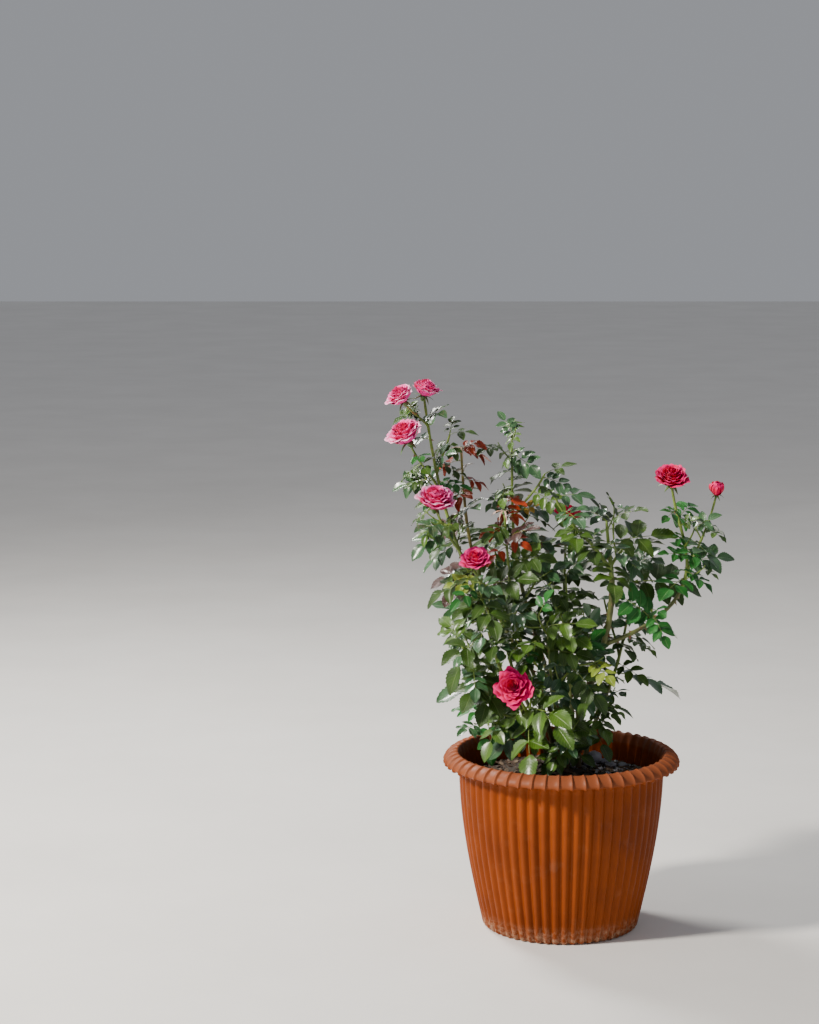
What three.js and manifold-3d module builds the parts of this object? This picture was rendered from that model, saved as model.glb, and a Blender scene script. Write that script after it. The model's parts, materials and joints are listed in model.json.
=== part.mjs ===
// A rose bush in a pleated pot: canes that rise from one crown, and masses of twigs, leaves and blooms.
// Millimetres, +Z up. The origin is the centre of the pot's flat underside, and the front is towards -Y.
import * as THREE from "three";
import Module from "manifold-3d";

const wasm = await Module();
wasm.setup();

const vec = (x, y, z) => new THREE.Vector3(x, y, z);
const UP = vec(0, 0, 1);
const TURN = 2 * Math.PI;

// Driving dimensions
const pot = {
  height: 265,
  baseRadius: 115,
  bellyRise: 36.5, // how much the wall widens from the base to the top
  fullAt: 250, // height at which it is widest
  wall: 2.6,
  floor: 5,
  pleats: 56,
  pleatDepth: 4.4,
  footChamfer: 4,
};
const rim = {
  radius: 175,
  mouthRadius: 153,
  outerEdge: 248, // height of the collar's lower outer edge
  thickness: 3,
  pleatDepth: 2.8,
};
const soil = {
  edgeHeight: 221,
  moundRise: 10,
  crownX: 10,
  crownY: 38,
  moundFlat: 34,
  sectors: 30,
};
const CLEAR = 0.3; // gap between neighbouring solids

const leafSize = {
  rachis: 64, // stalk, from the twig to the end leaflet
  shortStalk: 0.72, // share of that for a leaf of three
  leaflet: 51,
  widthShare: 0.67,
  widestAt: 0.46, // share of a leaflet's length at which it is widest
  thickness: 1.4, // at a leaflet's middle
  endShare: 1.06, // size of the end leaflet
  hang: 0.16, // how far a leaflet bends down from its stalk's line
  stalkRadius: 1.1,
};
// Pairs of leaflets, by their share of the stalk; a leaf of three has the last pair only
const pairs = [
  { at: 0.3, angle: 74, size: 0.76 },
  { at: 0.68, angle: 64, size: 0.9 },
];
const GOLDEN = 137.5; // turn from one leaf to the next, in degrees

// Room that each piece keeps round itself
const room = {
  leaflet: 4.2, // half the spacing that a leaflet's sample points keep from another mass
  stalk: 2,
  twig: 1.6, // beyond a twig's own radius
  ownEase: 0.72, // share of the spacing kept inside one mass
  trunkShare: 0.4, // share of the root's exempt distance that counts for limbs
  leafRoot: 16, // distance from its node within which a leaf may touch its own twigs
  twigRoot: 14,
  youngRoot: 30,
  rimGap: 4,
  belowRim: 60, // how far under the collar a leaf may hang outside the pot
};

// Canes and boughs: a foot, two handles and a tip make one smooth curve
const limbs = {
  cane_main: {
    curve: [vec(24, 40, 0), vec(20, 38, 332), vec(80, 20, 408), vec(73, 14, 520)],
    radii: [5.4, 4.2],
  },
  cane_left: {
    curve: [vec(-2, 42, 0), vec(-22, 34, 345), vec(-84, 16, 418), vec(-130, 6, 512)],
    radii: [3.8, 2.9],
  },
  cane_bronze_left: {
    curve: [vec(-5, 59, 0), vec(-20, 58, 344), vec(-84, 58, 430), vec(-118, 46, 512)],
    radii: [3.6, 2.9],
  },
  cane_bronze_mid: {
    curve: [vec(10, 32, 0), vec(0, 22, 300), vec(-26, 8, 340), vec(-48, 2, 392)],
    radii: [3.6, 2.9],
  },
  cane_high: {
    curve: [vec(8, 56, 0), vec(4, 60, 330), vec(-40, 64, 420), vec(-60, 56, 510)],
    radii: [3.6, 2.8],
  },
  cane_pink: {
    curve: [vec(-13, 30, 0), vec(-30, 10, 290), vec(-58, -14, 320), vec(-80, -28, 366)],
    radii: [3.5, 2.8],
  },
  cane_front: {
    curve: [vec(-4, 17, 0), vec(-10, 0, 262), vec(-22, -20, 278), vec(-34, -38, 304)],
    radii: [3.3, 2.6],
  },
  cane_mid: {
    curve: [vec(9, 19, 0), vec(6, 8, 270), vec(-4, -6, 296), vec(-10, -14, 330)],
    radii: [3.4, 2.7],
  },
  cane_right_mid: {
    curve: [vec(27, 25, 0), vec(30, 24, 276), vec(26, 22, 310), vec(20, 22, 356)],
    radii: [3.5, 2.8],
  },
  cane_back_left: {
    curve: [vec(-16, 47, 0), vec(-24, 62, 280), vec(-42, 76, 306), vec(-58, 88, 340)],
    radii: [3.5, 2.8],
  },
  cane_back_mid: {
    curve: [vec(21, 62, 0), vec(24, 78, 290), vec(20, 94, 320), vec(14, 102, 366)],
    radii: [3.6, 2.8],
  },
  cane_back_right: {
    curve: [vec(37, 51, 0), vec(46, 60, 280), vec(62, 74, 306), vec(76, 82, 340)],
    radii: [3.5, 2.8],
  },
};
const sideBoughs = {
  bough_right: {
    parent: "cane_main",
    at: 0.68,
    curve: [vec(112, 26, 436), vec(158, 34, 458), vec(178, 34, 500)],
    radii: [3.4, 2.6],
    seat: 1.15, // how much nearer it sits than round limbs would, since their sides are flat
  },
};

// Masses of foliage. Each stem starts at its limb's tip, or at a share of the way up it, and runs
// to its head. Its shoots leave it at a share of its length. "end" is what a shoot carries.
const leafy = { kind: "leaf" };
const bloomEnd = (size, x, y, z) => ({ kind: "bloom", size, lean: vec(x, y, z) });
const masses = {
  left_high: {
    from: "cane_left",
    head: vec(-204, 18, 790),
    stemRadii: [2.9, 1.8],
    end: bloomEnd(22, 0.3, -0.2, 1),
    shoots: [
      { at: 0.5, head: vec(-226, -6, 726), end: bloomEnd(29, -0.5, -0.4, 1) },
      { at: 0.84, head: vec(-233, -12, 784), end: bloomEnd(23, -0.6, -0.3, 1) },
      { at: 0.6, head: vec(-166, 20, 732), end: leafy },
    ],
    leafScale: 0.76,
    spacing: 34,
    bare: 0.08,
    seed: 22,
  },
  left_side: {
    from: "cane_left",
    at: 0.85,
    head: vec(-188, -22, 632),
    stemRadii: [2.6, 1.7],
    end: bloomEnd(29, 0.1, -0.5, 1),
    shoots: [],
    leafScale: 0.84,
    spacing: 25,
    bare: 0.12,
    seed: 54,
  },
  bronze_left: {
    from: "cane_bronze_left",
    head: vec(-149, 40, 706),
    stemRadii: [2.9, 1.6],
    end: { kind: "young" },
    shoots: [],
    leafScale: 0.82,
    spacing: 33,
    bare: 0.06,
    seed: 29,
  },
  bronze_mid: {
    from: "cane_bronze_mid",
    head: vec(-86, -6, 618),
    stemRadii: [2.8, 1.6],
    end: { kind: "young" },
    shoots: [{ at: 0.35, head: vec(-40, -10, 520), end: leafy }],
    leafScale: 0.96,
    spacing: 38,
    bare: 0.04,
    seed: 28,
  },
  upper_mid: {
    from: "cane_high",
    head: vec(-74, 50, 730),
    stemRadii: [2.7, 1.5],
    end: leafy,
    shoots: [{ at: 0.42, head: vec(-26, 34, 672), end: leafy }],
    leafScale: 0.86,
    spacing: 31,
    bare: 0.06,
    seed: 12,
  },
  pink_side: {
    from: "cane_pink",
    head: vec(-127, -46, 551),
    stemRadii: [2.7, 1.7],
    end: bloomEnd(23, -0.25, -0.7, 1),
    shoots: [
      { at: 0.12, head: vec(-150, -40, 430), end: leafy },
      { at: 0.3, head: vec(-84, -64, 480), end: leafy },
    ],
    leafScale: 0.98,
    spacing: 28,
    bare: 0.05,
    seed: 6,
  },
  front_bloom: {
    from: "cane_front",
    head: vec(-72, -78, 374),
    stemRadii: [2.6, 1.9],
    end: bloomEnd(31, -0.25, -1.2, 0.5),
    shoots: [{ at: 0.15, head: vec(-104, -52, 340), end: leafy }],
    leafScale: 1,
    spacing: 19,
    bare: 0.05,
    seed: 61,
  },
  mid_shoot: {
    from: "cane_mid",
    head: vec(-24, -34, 462),
    stemRadii: [2.7, 1.4],
    end: leafy,
    shoots: [
      { at: 0.2, head: vec(22, -44, 412), end: leafy },
      { at: 0.3, head: vec(-58, -58, 430), end: leafy },
    ],
    leafScale: 0.95,
    spacing: 22,
    bare: 0.04,
    seed: 24,
  },
  right_mid: {
    from: "cane_right_mid",
    head: vec(6, 26, 522),
    stemRadii: [2.7, 1.4],
    end: leafy,
    shoots: [
      { at: 0.2, head: vec(46, 6, 440), end: leafy },
      { at: 0.45, head: vec(-20, -6, 505), end: leafy },
    ],
    leafScale: 1,
    spacing: 34,
    bare: 0.04,
    seed: 1,
  },
  arch_head: {
    from: "cane_main",
    head: vec(64, 8, 606),
    stemRadii: [3.9, 1.8],
    end: leafy,
    shoots: [
      { at: 0.1, head: vec(-14, 4, 646), end: leafy },
      { at: 0.2, head: vec(96, 30, 572), end: leafy },
    ],
    leafScale: 0.96,
    spacing: 32,
    bare: 0.05,
    seed: 60,
  },
  right_spray: {
    from: "bough_right",
    head: vec(160, 22, 660),
    stemRadii: [2.6, 1.9],
    end: bloomEnd(26, -0.05, -0.6, 1),
    shoots: [{ at: 0.06, head: vec(227, 30, 642), end: { kind: "bud", size: 14, lean: vec(0, -0.4, 1) } }],
    leafScale: 0.84,
    spacing: 25,
    bare: 0.02,
    seed: 23,
  },
  right_low: {
    from: "bough_right",
    at: 0.5,
    head: vec(130, -14, 478),
    stemRadii: [2.2, 1.3],
    end: leafy,
    shoots: [],
    leafScale: 0.8,
    spacing: 22,
    bare: 0.1,
    seed: 10,
  },
  skirt_right: {
    from: "cane_main",
    at: 0.22,
    head: vec(58, 0, 334),
    stemRadii: [2.2, 1.3],
    end: leafy,
    shoots: [],
    leafScale: 0.84,
    spacing: 17,
    bare: 0.1,
    seed: 17,
  },
  skirt_left: {
    from: "cane_pink",
    at: 0.5,
    head: vec(-116, -22, 322),
    stemRadii: [2.2, 1.3],
    end: leafy,
    shoots: [],
    leafScale: 0.95,
    spacing: 15,
    bare: 0.1,
    seed: 14,
  },
  skirt_front: {
    from: "cane_mid",
    at: 0.4,
    head: vec(8, -72, 304),
    stemRadii: [2.2, 1.3],
    end: leafy,
    shoots: [],
    leafScale: 0.95,
    spacing: 15,
    bare: 0.1,
    seed: 78,
  },
  back_left: {
    from: "cane_back_left",
    head: vec(-96, 112, 550),
    stemRadii: [2.7, 1.4],
    end: leafy,
    shoots: [{ at: 0.3, head: vec(-140, 96, 500), end: leafy }],
    leafScale: 1.14,
    spacing: 54,
    bare: 0.04,
    seed: 80,
  },
  back_mid: {
    from: "cane_back_mid",
    head: vec(10, 104, 590),
    stemRadii: [2.7, 1.6],
    end: bloomEnd(25, 0.1, 0.5, 1),
    shoots: [{ at: 0.3, head: vec(-24, 134, 520), end: leafy }],
    leafScale: 1.12,
    spacing: 52,
    bare: 0.04,
    seed: 6,
  },
  back_right: {
    from: "cane_back_right",
    head: vec(112, 92, 530),
    stemRadii: [2.7, 1.4],
    end: leafy,
    shoots: [{ at: 0.25, head: vec(70, 120, 470), end: leafy }],
    leafScale: 1.1,
    spacing: 45,
    bare: 0.04,
    seed: 2,
  },
  skirt_back: {
    from: "cane_back_mid",
    at: 0.4,
    head: vec(50, 122, 340),
    stemRadii: [2.2, 1.3],
    end: leafy,
    shoots: [],
    leafScale: 1.05,
    spacing: 25,
    bare: 0.1,
    seed: 11,
  },
};

const growth = {
  firstLeaf: 9, // bare length above a stem's start
  lift: [48, 78], // angle between a twig and its leaf stalk, in degrees
  droop: [0.3, 0.75],
  size: [0.78, 1.05],
  roll: [-24, 24],
  turnSpread: [-18, 18],
  upperFrom: 0.62, // share of a shoot above which leaves are smaller
  upperSize: 0.82,
  peduncle: 24, // bare length below a bloom
  tipLift: 26,
  tipSize: 0.85,
  twigChance: 0.06,
  twigLength: [36, 60],
  twigRadii: [1.6, 1.1],
  twigBare: 0.3,
  shootTip: 1.5, // radius at the tip of a shoot that leaves the stem
  shootShare: 0.85, // its radius at the root, as a share of the stem's
  shootBare: 0.12,
  retryTurns: [0, 45, -45, 90, -90, 150, -150],
  retrySizes: [1, 0.82, 0.66],
  outward: 0.5, // how far leaves face away from the bush's middle rather than straight up
  light: vec(-0.15, -0.7, 0), // and how far they face the light
};

// A tuft of young leaves that hang from the top of a shoot
const young = {
  count: 5,
  size: 0.56,
  sizeSpread: [0.9, 1.15],
  turnSpread: [-20, 20],
  lift: 62,
  droop: 0.75,
  narrow: 0.6,
  back: 0.07, // share of the shoot from one to the next
};

// Materials
const finish = (color, roughness) => new THREE.MeshStandardMaterial({ color, roughness, metalness: 0 });
const paints = {
  pot: finish(0xb8622e, 0.6),
  soil: finish(0x2c221b, 1),
  pebble: finish(0x6d6a70, 0.8),
  cane: finish(0x6f7a3a, 0.7),
  foliage: finish(0x3d6a3c, 0.55),
};

// A short repeatable source of random numbers, the same in every language
function seeded(seed) {
  let state = seed >>> 0;
  const draw = () => {
    state = (Math.imul(state, 1664525) + 1013904223) >>> 0;
    return state / 4294967296;
  };
  for (let i = 0; i < 4; i++) draw();
  return draw;
}

const between = ([low, high], share) => low + (high - low) * share;
const rad = THREE.MathUtils.degToRad;

// Solids
function solidOf(points, triangles) {
  const vertProperties = new Float32Array(points.flatMap((p) => [p.x, p.y, p.z]));
  const triVerts = new Uint32Array(triangles.flat());
  const made = new wasm.Manifold(new wasm.Mesh({ numProp: 3, vertProperties, triVerts }));
  if (made.volume() > 0) return made;
  return new wasm.Manifold(
    new wasm.Mesh({ numProp: 3, vertProperties, triVerts: triVerts.slice().reverse() }),
  );
}

// Rings of points, bottom to top, closed by a fan round a middle point at each end
function ringsToSolid(rings, bottom, top) {
  const sides = rings[0].length;
  const points = [...rings.flat(), bottom, top];
  const low = points.length - 2;
  const high = points.length - 1;
  const last = (rings.length - 1) * sides;
  const triangles = bandsOf(rings.length, sides);
  for (let i = 0; i < sides; i++) {
    const next = (i + 1) % sides;
    triangles.push([low, next, i], [high, last + i, last + next]);
  }
  return solidOf(points, triangles);
}

function bandsOf(ringCount, sides) {
  const triangles = [];
  for (let r = 0; r < (ringCount - 1) * sides; r += sides) {
    for (let i = 0; i < sides; i++) {
      const next = (i + 1) % sides;
      triangles.push([r + i, r + next, r + sides + next], [r + i, r + sides + next, r + sides + i]);
    }
  }
  return triangles;
}

// Rings of three, closed by one face at the root and by a face or a point at the far end
function thinSolid(rings, tip) {
  const points = [...rings.flat()];
  const last = points.length - 3;
  const triangles = [...bandsOf(rings.length, 3), [2, 1, 0]];
  if (tip) {
    points.push(tip);
    for (let i = 0; i < 3; i++) triangles.push([last + i, last + ((i + 1) % 3), last + 3]);
  } else {
    triangles.push([last, last + 1, last + 2]);
  }
  return solidOf(points, triangles);
}

function meshOf(name, solid, material) {
  const made = solid.getMesh();
  const geometry = new THREE.BufferGeometry();
  const positions = new Float32Array(made.numVert * 3);
  for (let i = 0; i < made.numVert; i++) {
    positions.set(made.vertProperties.subarray(i * made.numProp, i * made.numProp + 3), i * 3);
  }
  geometry.setAttribute("position", new THREE.BufferAttribute(positions, 3));
  geometry.setIndex(new THREE.BufferAttribute(made.triVerts, 1));
  const flat = geometry.toNonIndexed();
  flat.computeVertexNormals();
  const mesh = new THREE.Mesh(flat, material);
  mesh.name = name;
  return mesh;
}

// Pot
function potRadius(z) {
  return pot.baseRadius + pot.bellyRise * Math.sin((Math.PI / 2) * Math.min(1, z / pot.fullAt));
}

// The inner wall is straight from the floor to under the rim
function potInside(z) {
  const top = rim.outerEdge - rim.thickness;
  const share = (z - pot.floor) / (top - pot.floor);
  return between([potRadius(pot.floor), potRadius(top)], share) - pot.wall;
}

// One ring of the pot: crests and grooves take turns, "depth" apart
function pleatedRing(radius, z, depth) {
  return Array.from({ length: 2 * pot.pleats }, (_, i) => {
    const angle = (i / (2 * pot.pleats)) * TURN;
    const r = i % 2 ? radius - depth : radius;
    return vec(r * Math.cos(angle), r * Math.sin(angle), z);
  });
}

const bellyShares = [0.3, 0.62]; // heights of the rings between the foot and the collar

function potSolid() {
  const wallTop = rim.outerEdge - rim.thickness;
  const d = pot.pleatDepth;
  const rings = [
    pleatedRing(pot.baseRadius - pot.footChamfer, 0, d),
    pleatedRing(potRadius(pot.footChamfer), pot.footChamfer, d),
    ...bellyShares.map((share) => pleatedRing(potRadius(pot.height * share), pot.height * share, d)),
    pleatedRing(potRadius(wallTop), wallTop, d),
    pleatedRing(rim.radius - rim.thickness, rim.outerEdge - rim.thickness / 2, rim.pleatDepth),
    pleatedRing(rim.radius, rim.outerEdge + rim.thickness, rim.pleatDepth),
    pleatedRing(rim.mouthRadius + rim.thickness, pot.height, rim.pleatDepth),
    pleatedRing(potInside(wallTop), wallTop, d),
    pleatedRing(potInside(pot.floor), pot.floor, d),
  ];
  return ringsToSolid(rings, vec(0, 0, 0), vec(0, 0, pot.floor));
}

// Soil, level at the pot's wall, that slopes up to a flat patch round the crown
const soilRadius = () => potInside(soil.edgeHeight) - pot.pleatDepth - 2 * CLEAR;

function soilTop(x, y) {
  const away = Math.hypot(x - soil.crownX, y - soil.crownY);
  if (away <= soil.moundFlat) return soil.edgeHeight + soil.moundRise;
  const dx = (x - soil.crownX) / away;
  const dy = (y - soil.crownY) / away;
  const along = dx * soil.crownX + dy * soil.crownY;
  const apart = soil.crownX ** 2 + soil.crownY ** 2 - soilRadius() ** 2;
  const slopeEnd = Math.sqrt(along ** 2 - apart) - along;
  const share = Math.min(1, (away - soil.moundFlat) / (slopeEnd - soil.moundFlat));
  return soil.edgeHeight + soil.moundRise * (1 - share);
}

function soilSolid() {
  const ring = (x, y, radius, z) =>
    Array.from({ length: soil.sectors }, (_, i) => {
      const angle = (i / soil.sectors) * TURN;
      return vec(x + radius * Math.cos(angle), y + radius * Math.sin(angle), z);
    });
  const floorTop = pot.floor + CLEAR;
  const crownHeight = soil.edgeHeight + soil.moundRise;
  const floorRadius = potInside(floorTop) - pot.pleatDepth - 2 * CLEAR;
  const rings = [
    ring(0, 0, floorRadius, floorTop),
    ring(0, 0, soilRadius(), soil.edgeHeight),
    ring(soil.crownX, soil.crownY, soil.moundFlat, crownHeight),
  ];
  return ringsToSolid(rings, vec(0, 0, floorTop), vec(soil.crownX, soil.crownY, crownHeight));
}

// Pebbles on the soil, right of the main cane
const pebbles = [
  { x: 52, y: 62, size: 13, tall: 1.05 },
  { x: 44, y: 36, size: 11, tall: 0.6 },
  { x: 76, y: 44, size: 10, tall: 0.6 },
  { x: 68, y: 70, size: 8, tall: 0.7 },
  { x: 96, y: 58, size: 8, tall: 0.6 },
];

const pebbleSeed = 31;
const pebbleSides = 6;

function pebbleSolid(pebble, seed) {
  const draw = seeded(seed);
  const ring = (share) =>
    Array.from({ length: pebbleSides }, (_, i) => {
      const angle = (i / pebbleSides) * TURN;
      const r = pebble.size * share * between([0.86, 1.08], draw());
      return vec(pebble.x + r * Math.cos(angle), pebble.y + r * Math.sin(angle), 0);
    });
  const height = pebble.size * pebble.tall * 1.4;
  const rings = [ring(0.95), ring(0.8)];
  const floor = Math.max(...rings[0].map((p) => soilTop(p.x, p.y))) + CLEAR; // its highest corner touches
  for (const p of rings[0]) p.z = floor;
  for (const p of rings[1]) p.z = floor + height * 0.7;
  return ringsToSolid(rings, vec(pebble.x, pebble.y, floor), vec(pebble.x, pebble.y, floor + height));
}

// Curves
function bezier([a, b, c, d], t) {
  const s = 1 - t;
  return a
    .clone()
    .multiplyScalar(s * s * s)
    .addScaledVector(b, 3 * s * s * t)
    .addScaledVector(c, 3 * s * t * t)
    .addScaledVector(d, t * t * t);
}

function bezierTangent(curve, t) {
  const step = 0.01;
  const ahead = bezier(curve, Math.min(1, t + step));
  return ahead.sub(bezier(curve, Math.max(0, t - step))).normalize();
}

function sideOf(direction, towards) {
  const side = towards.clone().addScaledVector(direction, -towards.dot(direction));
  if (side.lengthSq() < 1e-6) side.set(1, 0, 0).addScaledVector(direction, -direction.x);
  return side.normalize();
}

// Points on a circle about a line's direction, the first of them on the given side
function ringAt(centre, along, side, radius, sides) {
  const other = along.clone().cross(side);
  return Array.from({ length: sides }, (_, k) => {
    const angle = (k / sides) * TURN;
    return centre
      .clone()
      .addScaledVector(side, radius * Math.cos(angle))
      .addScaledVector(other, radius * Math.sin(angle));
  });
}

// The rings of a tapering stick along a curve
function stick(curve, shares, radii, sides) {
  let side = sideOf(bezierTangent(curve, 0), vec(0.31, -0.82, 0.48));
  return shares.map((t, i) => {
    const along = bezierTangent(curve, t);
    side = sideOf(along, side);
    return ringAt(bezier(curve, t), along, side, radii[i], sides);
  });
}

function steps(count) {
  return Array.from({ length: count + 1 }, (_, i) => i / count);
}

// Space keeping: every limb, twig and leaf is known by sample points, each with its own reach
const cellSize = 16;
const cells = new Map();
const cellKey = (p) =>
  Math.floor(p.x / cellSize) + "," + Math.floor(p.y / cellSize) + "," + Math.floor(p.z / cellSize);

function occupy(samples) {
  for (const sample of samples) {
    const key = cellKey(sample.point);
    if (!cells.has(key)) cells.set(key, []);
    cells.get(key).push(sample);
  }
}

function neighboursOf(p) {
  const found = [];
  for (let i = -1; i <= 1; i++) {
    for (let j = -1; j <= 1; j++) {
      for (let k = -1; k <= 1; k++) {
        const near = cells.get(cellKey(vec(p.x + i * cellSize, p.y + j * cellSize, p.z + k * cellSize)));
        if (near) found.push(...near);
      }
    }
  }
  return found;
}

// Whether a point keeps clear of the pot and the soil
function clearOfPot(p, reach) {
  const away = Math.hypot(p.x, p.y);
  if (p.z > pot.height + reach) return true;
  if (away > rim.radius + reach) return p.z > rim.outerEdge - room.belowRim;
  return away < rim.mouthRadius - reach - room.rimGap && p.z > soilTop(p.x, p.y) + reach;
}

// Whether new samples fit. Twigs of the same mass near the root of a leaf are what it grows from.
function fits(samples, owner, root, rootReach) {
  return samples.every(({ point, reach }) => {
    if (!clearOfPot(point, reach)) return false;
    return neighboursOf(point).every((other) => {
      const own = other.owner === owner;
      if (own && !other.leaf && other.point.distanceTo(root) < rootReach) return true;
      const nearTrunk = other.point.distanceTo(root) < rootReach * room.trunkShare;
      if (!own && other.trunk && nearTrunk) return true;
      const ease = own ? room.ownEase : 1;
      return other.point.distanceTo(point) > (other.reach + reach) * ease;
    });
  });
}

// A shoot is drawn as straight runs between its knots, and everything on it grows from those runs
const runLength = 45;
const sampleGap = 5;

function shootOf(curve, settings) {
  const count = Math.max(2, Math.round(curve[0].distanceTo(curve[3]) / runLength));
  return { curve, knots: steps(count).map((t) => bezier(curve, t)), ...settings };
}

function pointOn(shoot, t) {
  const nearlyAll = 0.9999; // keeps the tip on the last run
  const place = Math.min(nearlyAll, t) * (shoot.knots.length - 1);
  const run = Math.floor(place);
  return shoot.knots[run].clone().lerp(shoot.knots[run + 1], place - run);
}

function shootSamples(shoot, owner, extra) {
  const length = shoot.curve[0].distanceTo(shoot.curve[3]);
  return steps(Math.ceil(length / sampleGap)).map((t) => ({
    point: pointOn(shoot, t),
    reach: between(shoot.radii, t) + room.twig,
    owner,
    ...extra,
  }));
}

// Limbs
function setLimbs() {
  const crownHeight = soil.edgeHeight + soil.moundRise;
  for (const [name, limb] of Object.entries(limbs)) {
    limb.curve[0].z = crownHeight + CLEAR;
    occupy(shootSamples(shootOf(limb.curve, limb), name, { trunk: true }));
  }
  for (const [name, limb] of Object.entries(sideBoughs)) {
    const parent = limbs[limb.parent];
    const { start, away } = startOn(parent, limb.at, limb.curve[0], limb.radii[0]);
    limb.curve = [start.addScaledVector(away, -limb.seat), ...limb.curve];
    limbs[name] = limb;
    occupy(shootSamples(shootOf(limb.curve, limb), name, { trunk: true }));
  }
}

// Where a stem starts, and the way it leaves: off the limb's tip, or just clear of the limb's skin
function startOn(limb, at, head, radius) {
  const centre = bezier(limb.curve, at);
  const tangent = bezierTangent(limb.curve, at);
  if (at === 1) return { start: centre.addScaledVector(tangent, CLEAR), leaving: tangent };
  const away = sideOf(tangent, head.clone().sub(centre));
  const leaving = away.clone().addScaledVector(tangent, 0.6).normalize();
  const off = between(limb.radii, at) + CLEAR + radius * Math.abs(leaving.dot(tangent));
  return { start: centre.addScaledVector(away, off), leaving, away };
}

const flare = { width: 1.35, fade: 18 }; // widening at a cane's foot, and how soon it ends
const limbSides = 6;
const limbRuns = 5;

function limbSolid(limb) {
  const shares = steps(limbRuns);
  const rooted = !limb.parent;
  const widening = (t) => (rooted ? 1 + (flare.width - 1) * Math.exp(-t * flare.fade) : 1);
  const radii = shares.map((t) => between(limb.radii, t) * widening(t));
  const rings = stick(limb.curve, shares, radii, limbSides);
  if (rooted) for (const p of rings[0]) p.z = limb.curve[0].z; // the flat cut at the soil
  return ringsToSolid(rings, limb.curve[0], limb.curve[3]);
}

// Leaves
function bladeOf({ base, along, normal, length, width }) {
  const side = along.clone().cross(normal);
  const widest = base.clone().addScaledVector(along, length * leafSize.widestAt);
  const edge = (sign) =>
    widest
      .clone()
      .addScaledVector(side, (sign * width) / 2)
      .addScaledVector(normal, leafSize.thickness);
  return { keel: widest, left: edge(-1), right: edge(1), tip: base.clone().addScaledVector(along, length) };
}

// A leaflet is a folded blade of four faces: its edges stand a little above the line from base to tip
function leafletSolid(leaflet) {
  const { left, right, tip } = bladeOf(leaflet);
  return solidOf([leaflet.base, left, tip, right], [[0, 1, 2], [0, 2, 3], [0, 3, 1], [1, 3, 2]]);
}

function leafletSamples(leaflet, owner) {
  const side = leaflet.along.clone().cross(leaflet.normal);
  const found = [];
  const widest = leafSize.widestAt;
  for (const a of [0.1, 0.28, 0.46, 0.64, 0.82, 1]) { // shares of its length
    const half = (leaflet.width / 2) * (a < widest ? a / widest : (1 - a) / (1 - widest));
    for (const s of [-0.85, 0, 0.85]) { // and of its half width
      const point = leaflet.base
        .clone()
        .addScaledVector(leaflet.along, leaflet.length * a)
        .addScaledVector(side, half * s);
      found.push({ point, reach: room.leaflet, owner, leaf: true });
    }
  }
  return found;
}

// The way a leaf faces: up, out from the middle of the bush, and to the light in front
function facingAt(p) {
  const out = vec(p.x - soil.crownX, p.y - soil.crownY, 0).normalize();
  return UP.clone().addScaledVector(out, growth.outward).add(growth.light);
}

// A leaf: a straight stalk that hangs, with leaflets in pairs and one at its end
function leafOf({ root, along, size, droop, roll, pairCount, narrow }) {
  const length = leafSize.rachis * size * (pairCount === 2 ? 1 : leafSize.shortStalk);
  const direction = along.clone().addScaledVector(UP, -droop).normalize();
  const end = root.clone().addScaledVector(direction, length);
  const facing = sideOf(direction, facingAt(end)).applyAxisAngle(direction, rad(roll));
  const leaflets = [];
  const add = (t, angle, share) => {
    const turned = direction.clone().applyAxisAngle(facing, rad(angle));
    turned.addScaledVector(UP, -leafSize.hang - droop * t * 0.5).normalize();
    leaflets.push({
      base: root.clone().lerp(end, t),
      along: turned,
      normal: sideOf(turned, facing),
      length: leafSize.leaflet * size * share,
      width: leafSize.leaflet * size * share * leafSize.widthShare * narrow,
    });
  };
  for (const pair of pairs.slice(2 - pairCount)) {
    add(pair.at, pair.angle, pair.size);
    add(pair.at, -pair.angle, pair.size);
  }
  add(1, 0, leafSize.endShare);
  return { root, end, leaflets, size, facing };
}

function leafSamples(leaf, owner) {
  const found = leaf.leaflets.flatMap((leaflet) => leafletSamples(leaflet, owner));
  for (const t of [0.25, 0.5, 0.75]) {
    found.push({ point: leaf.root.clone().lerp(leaf.end, t), reach: room.stalk, owner, leaf: true });
  }
  return found;
}

// The stalk runs on into the end leaflet, and the pairs join it at its sides
function leafSolids(leaf) {
  const r = leafSize.stalkRadius * Math.max(0.8, leaf.size);
  const direction = leaf.end.clone().sub(leaf.root).normalize();
  const down = leaf.facing.clone().negate();
  const rings = [ringAt(leaf.root, direction, down, r, 3), ringAt(leaf.end, direction, down, r * 0.75, 3)];
  const { keel, left, right, tip } = bladeOf(leaf.leaflets[leaf.leaflets.length - 1]);
  return [thinSolid([...rings, [keel, left, right]], tip), ...leaf.leaflets.slice(0, -1).map(leafletSolid)];
}

// A bloom: whorls of petals as stepped, scalloped rings. A bud is taller and narrower.
const whorls = [
  { radius: 0.16, height: -0.1, wave: 0 },
  { radius: 1, height: 0.38, wave: 0.16 },
  { radius: 0.68, height: 0.5, wave: 0 },
  { radius: 0.72, height: 0.74, wave: -0.14 },
  { radius: 0.36, height: 0.84, wave: 0 },
];
const PETALS = 5;
const bud = { narrow: 0.8, tall: 1.7, top: 1.4, above: 0.4 };

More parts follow.
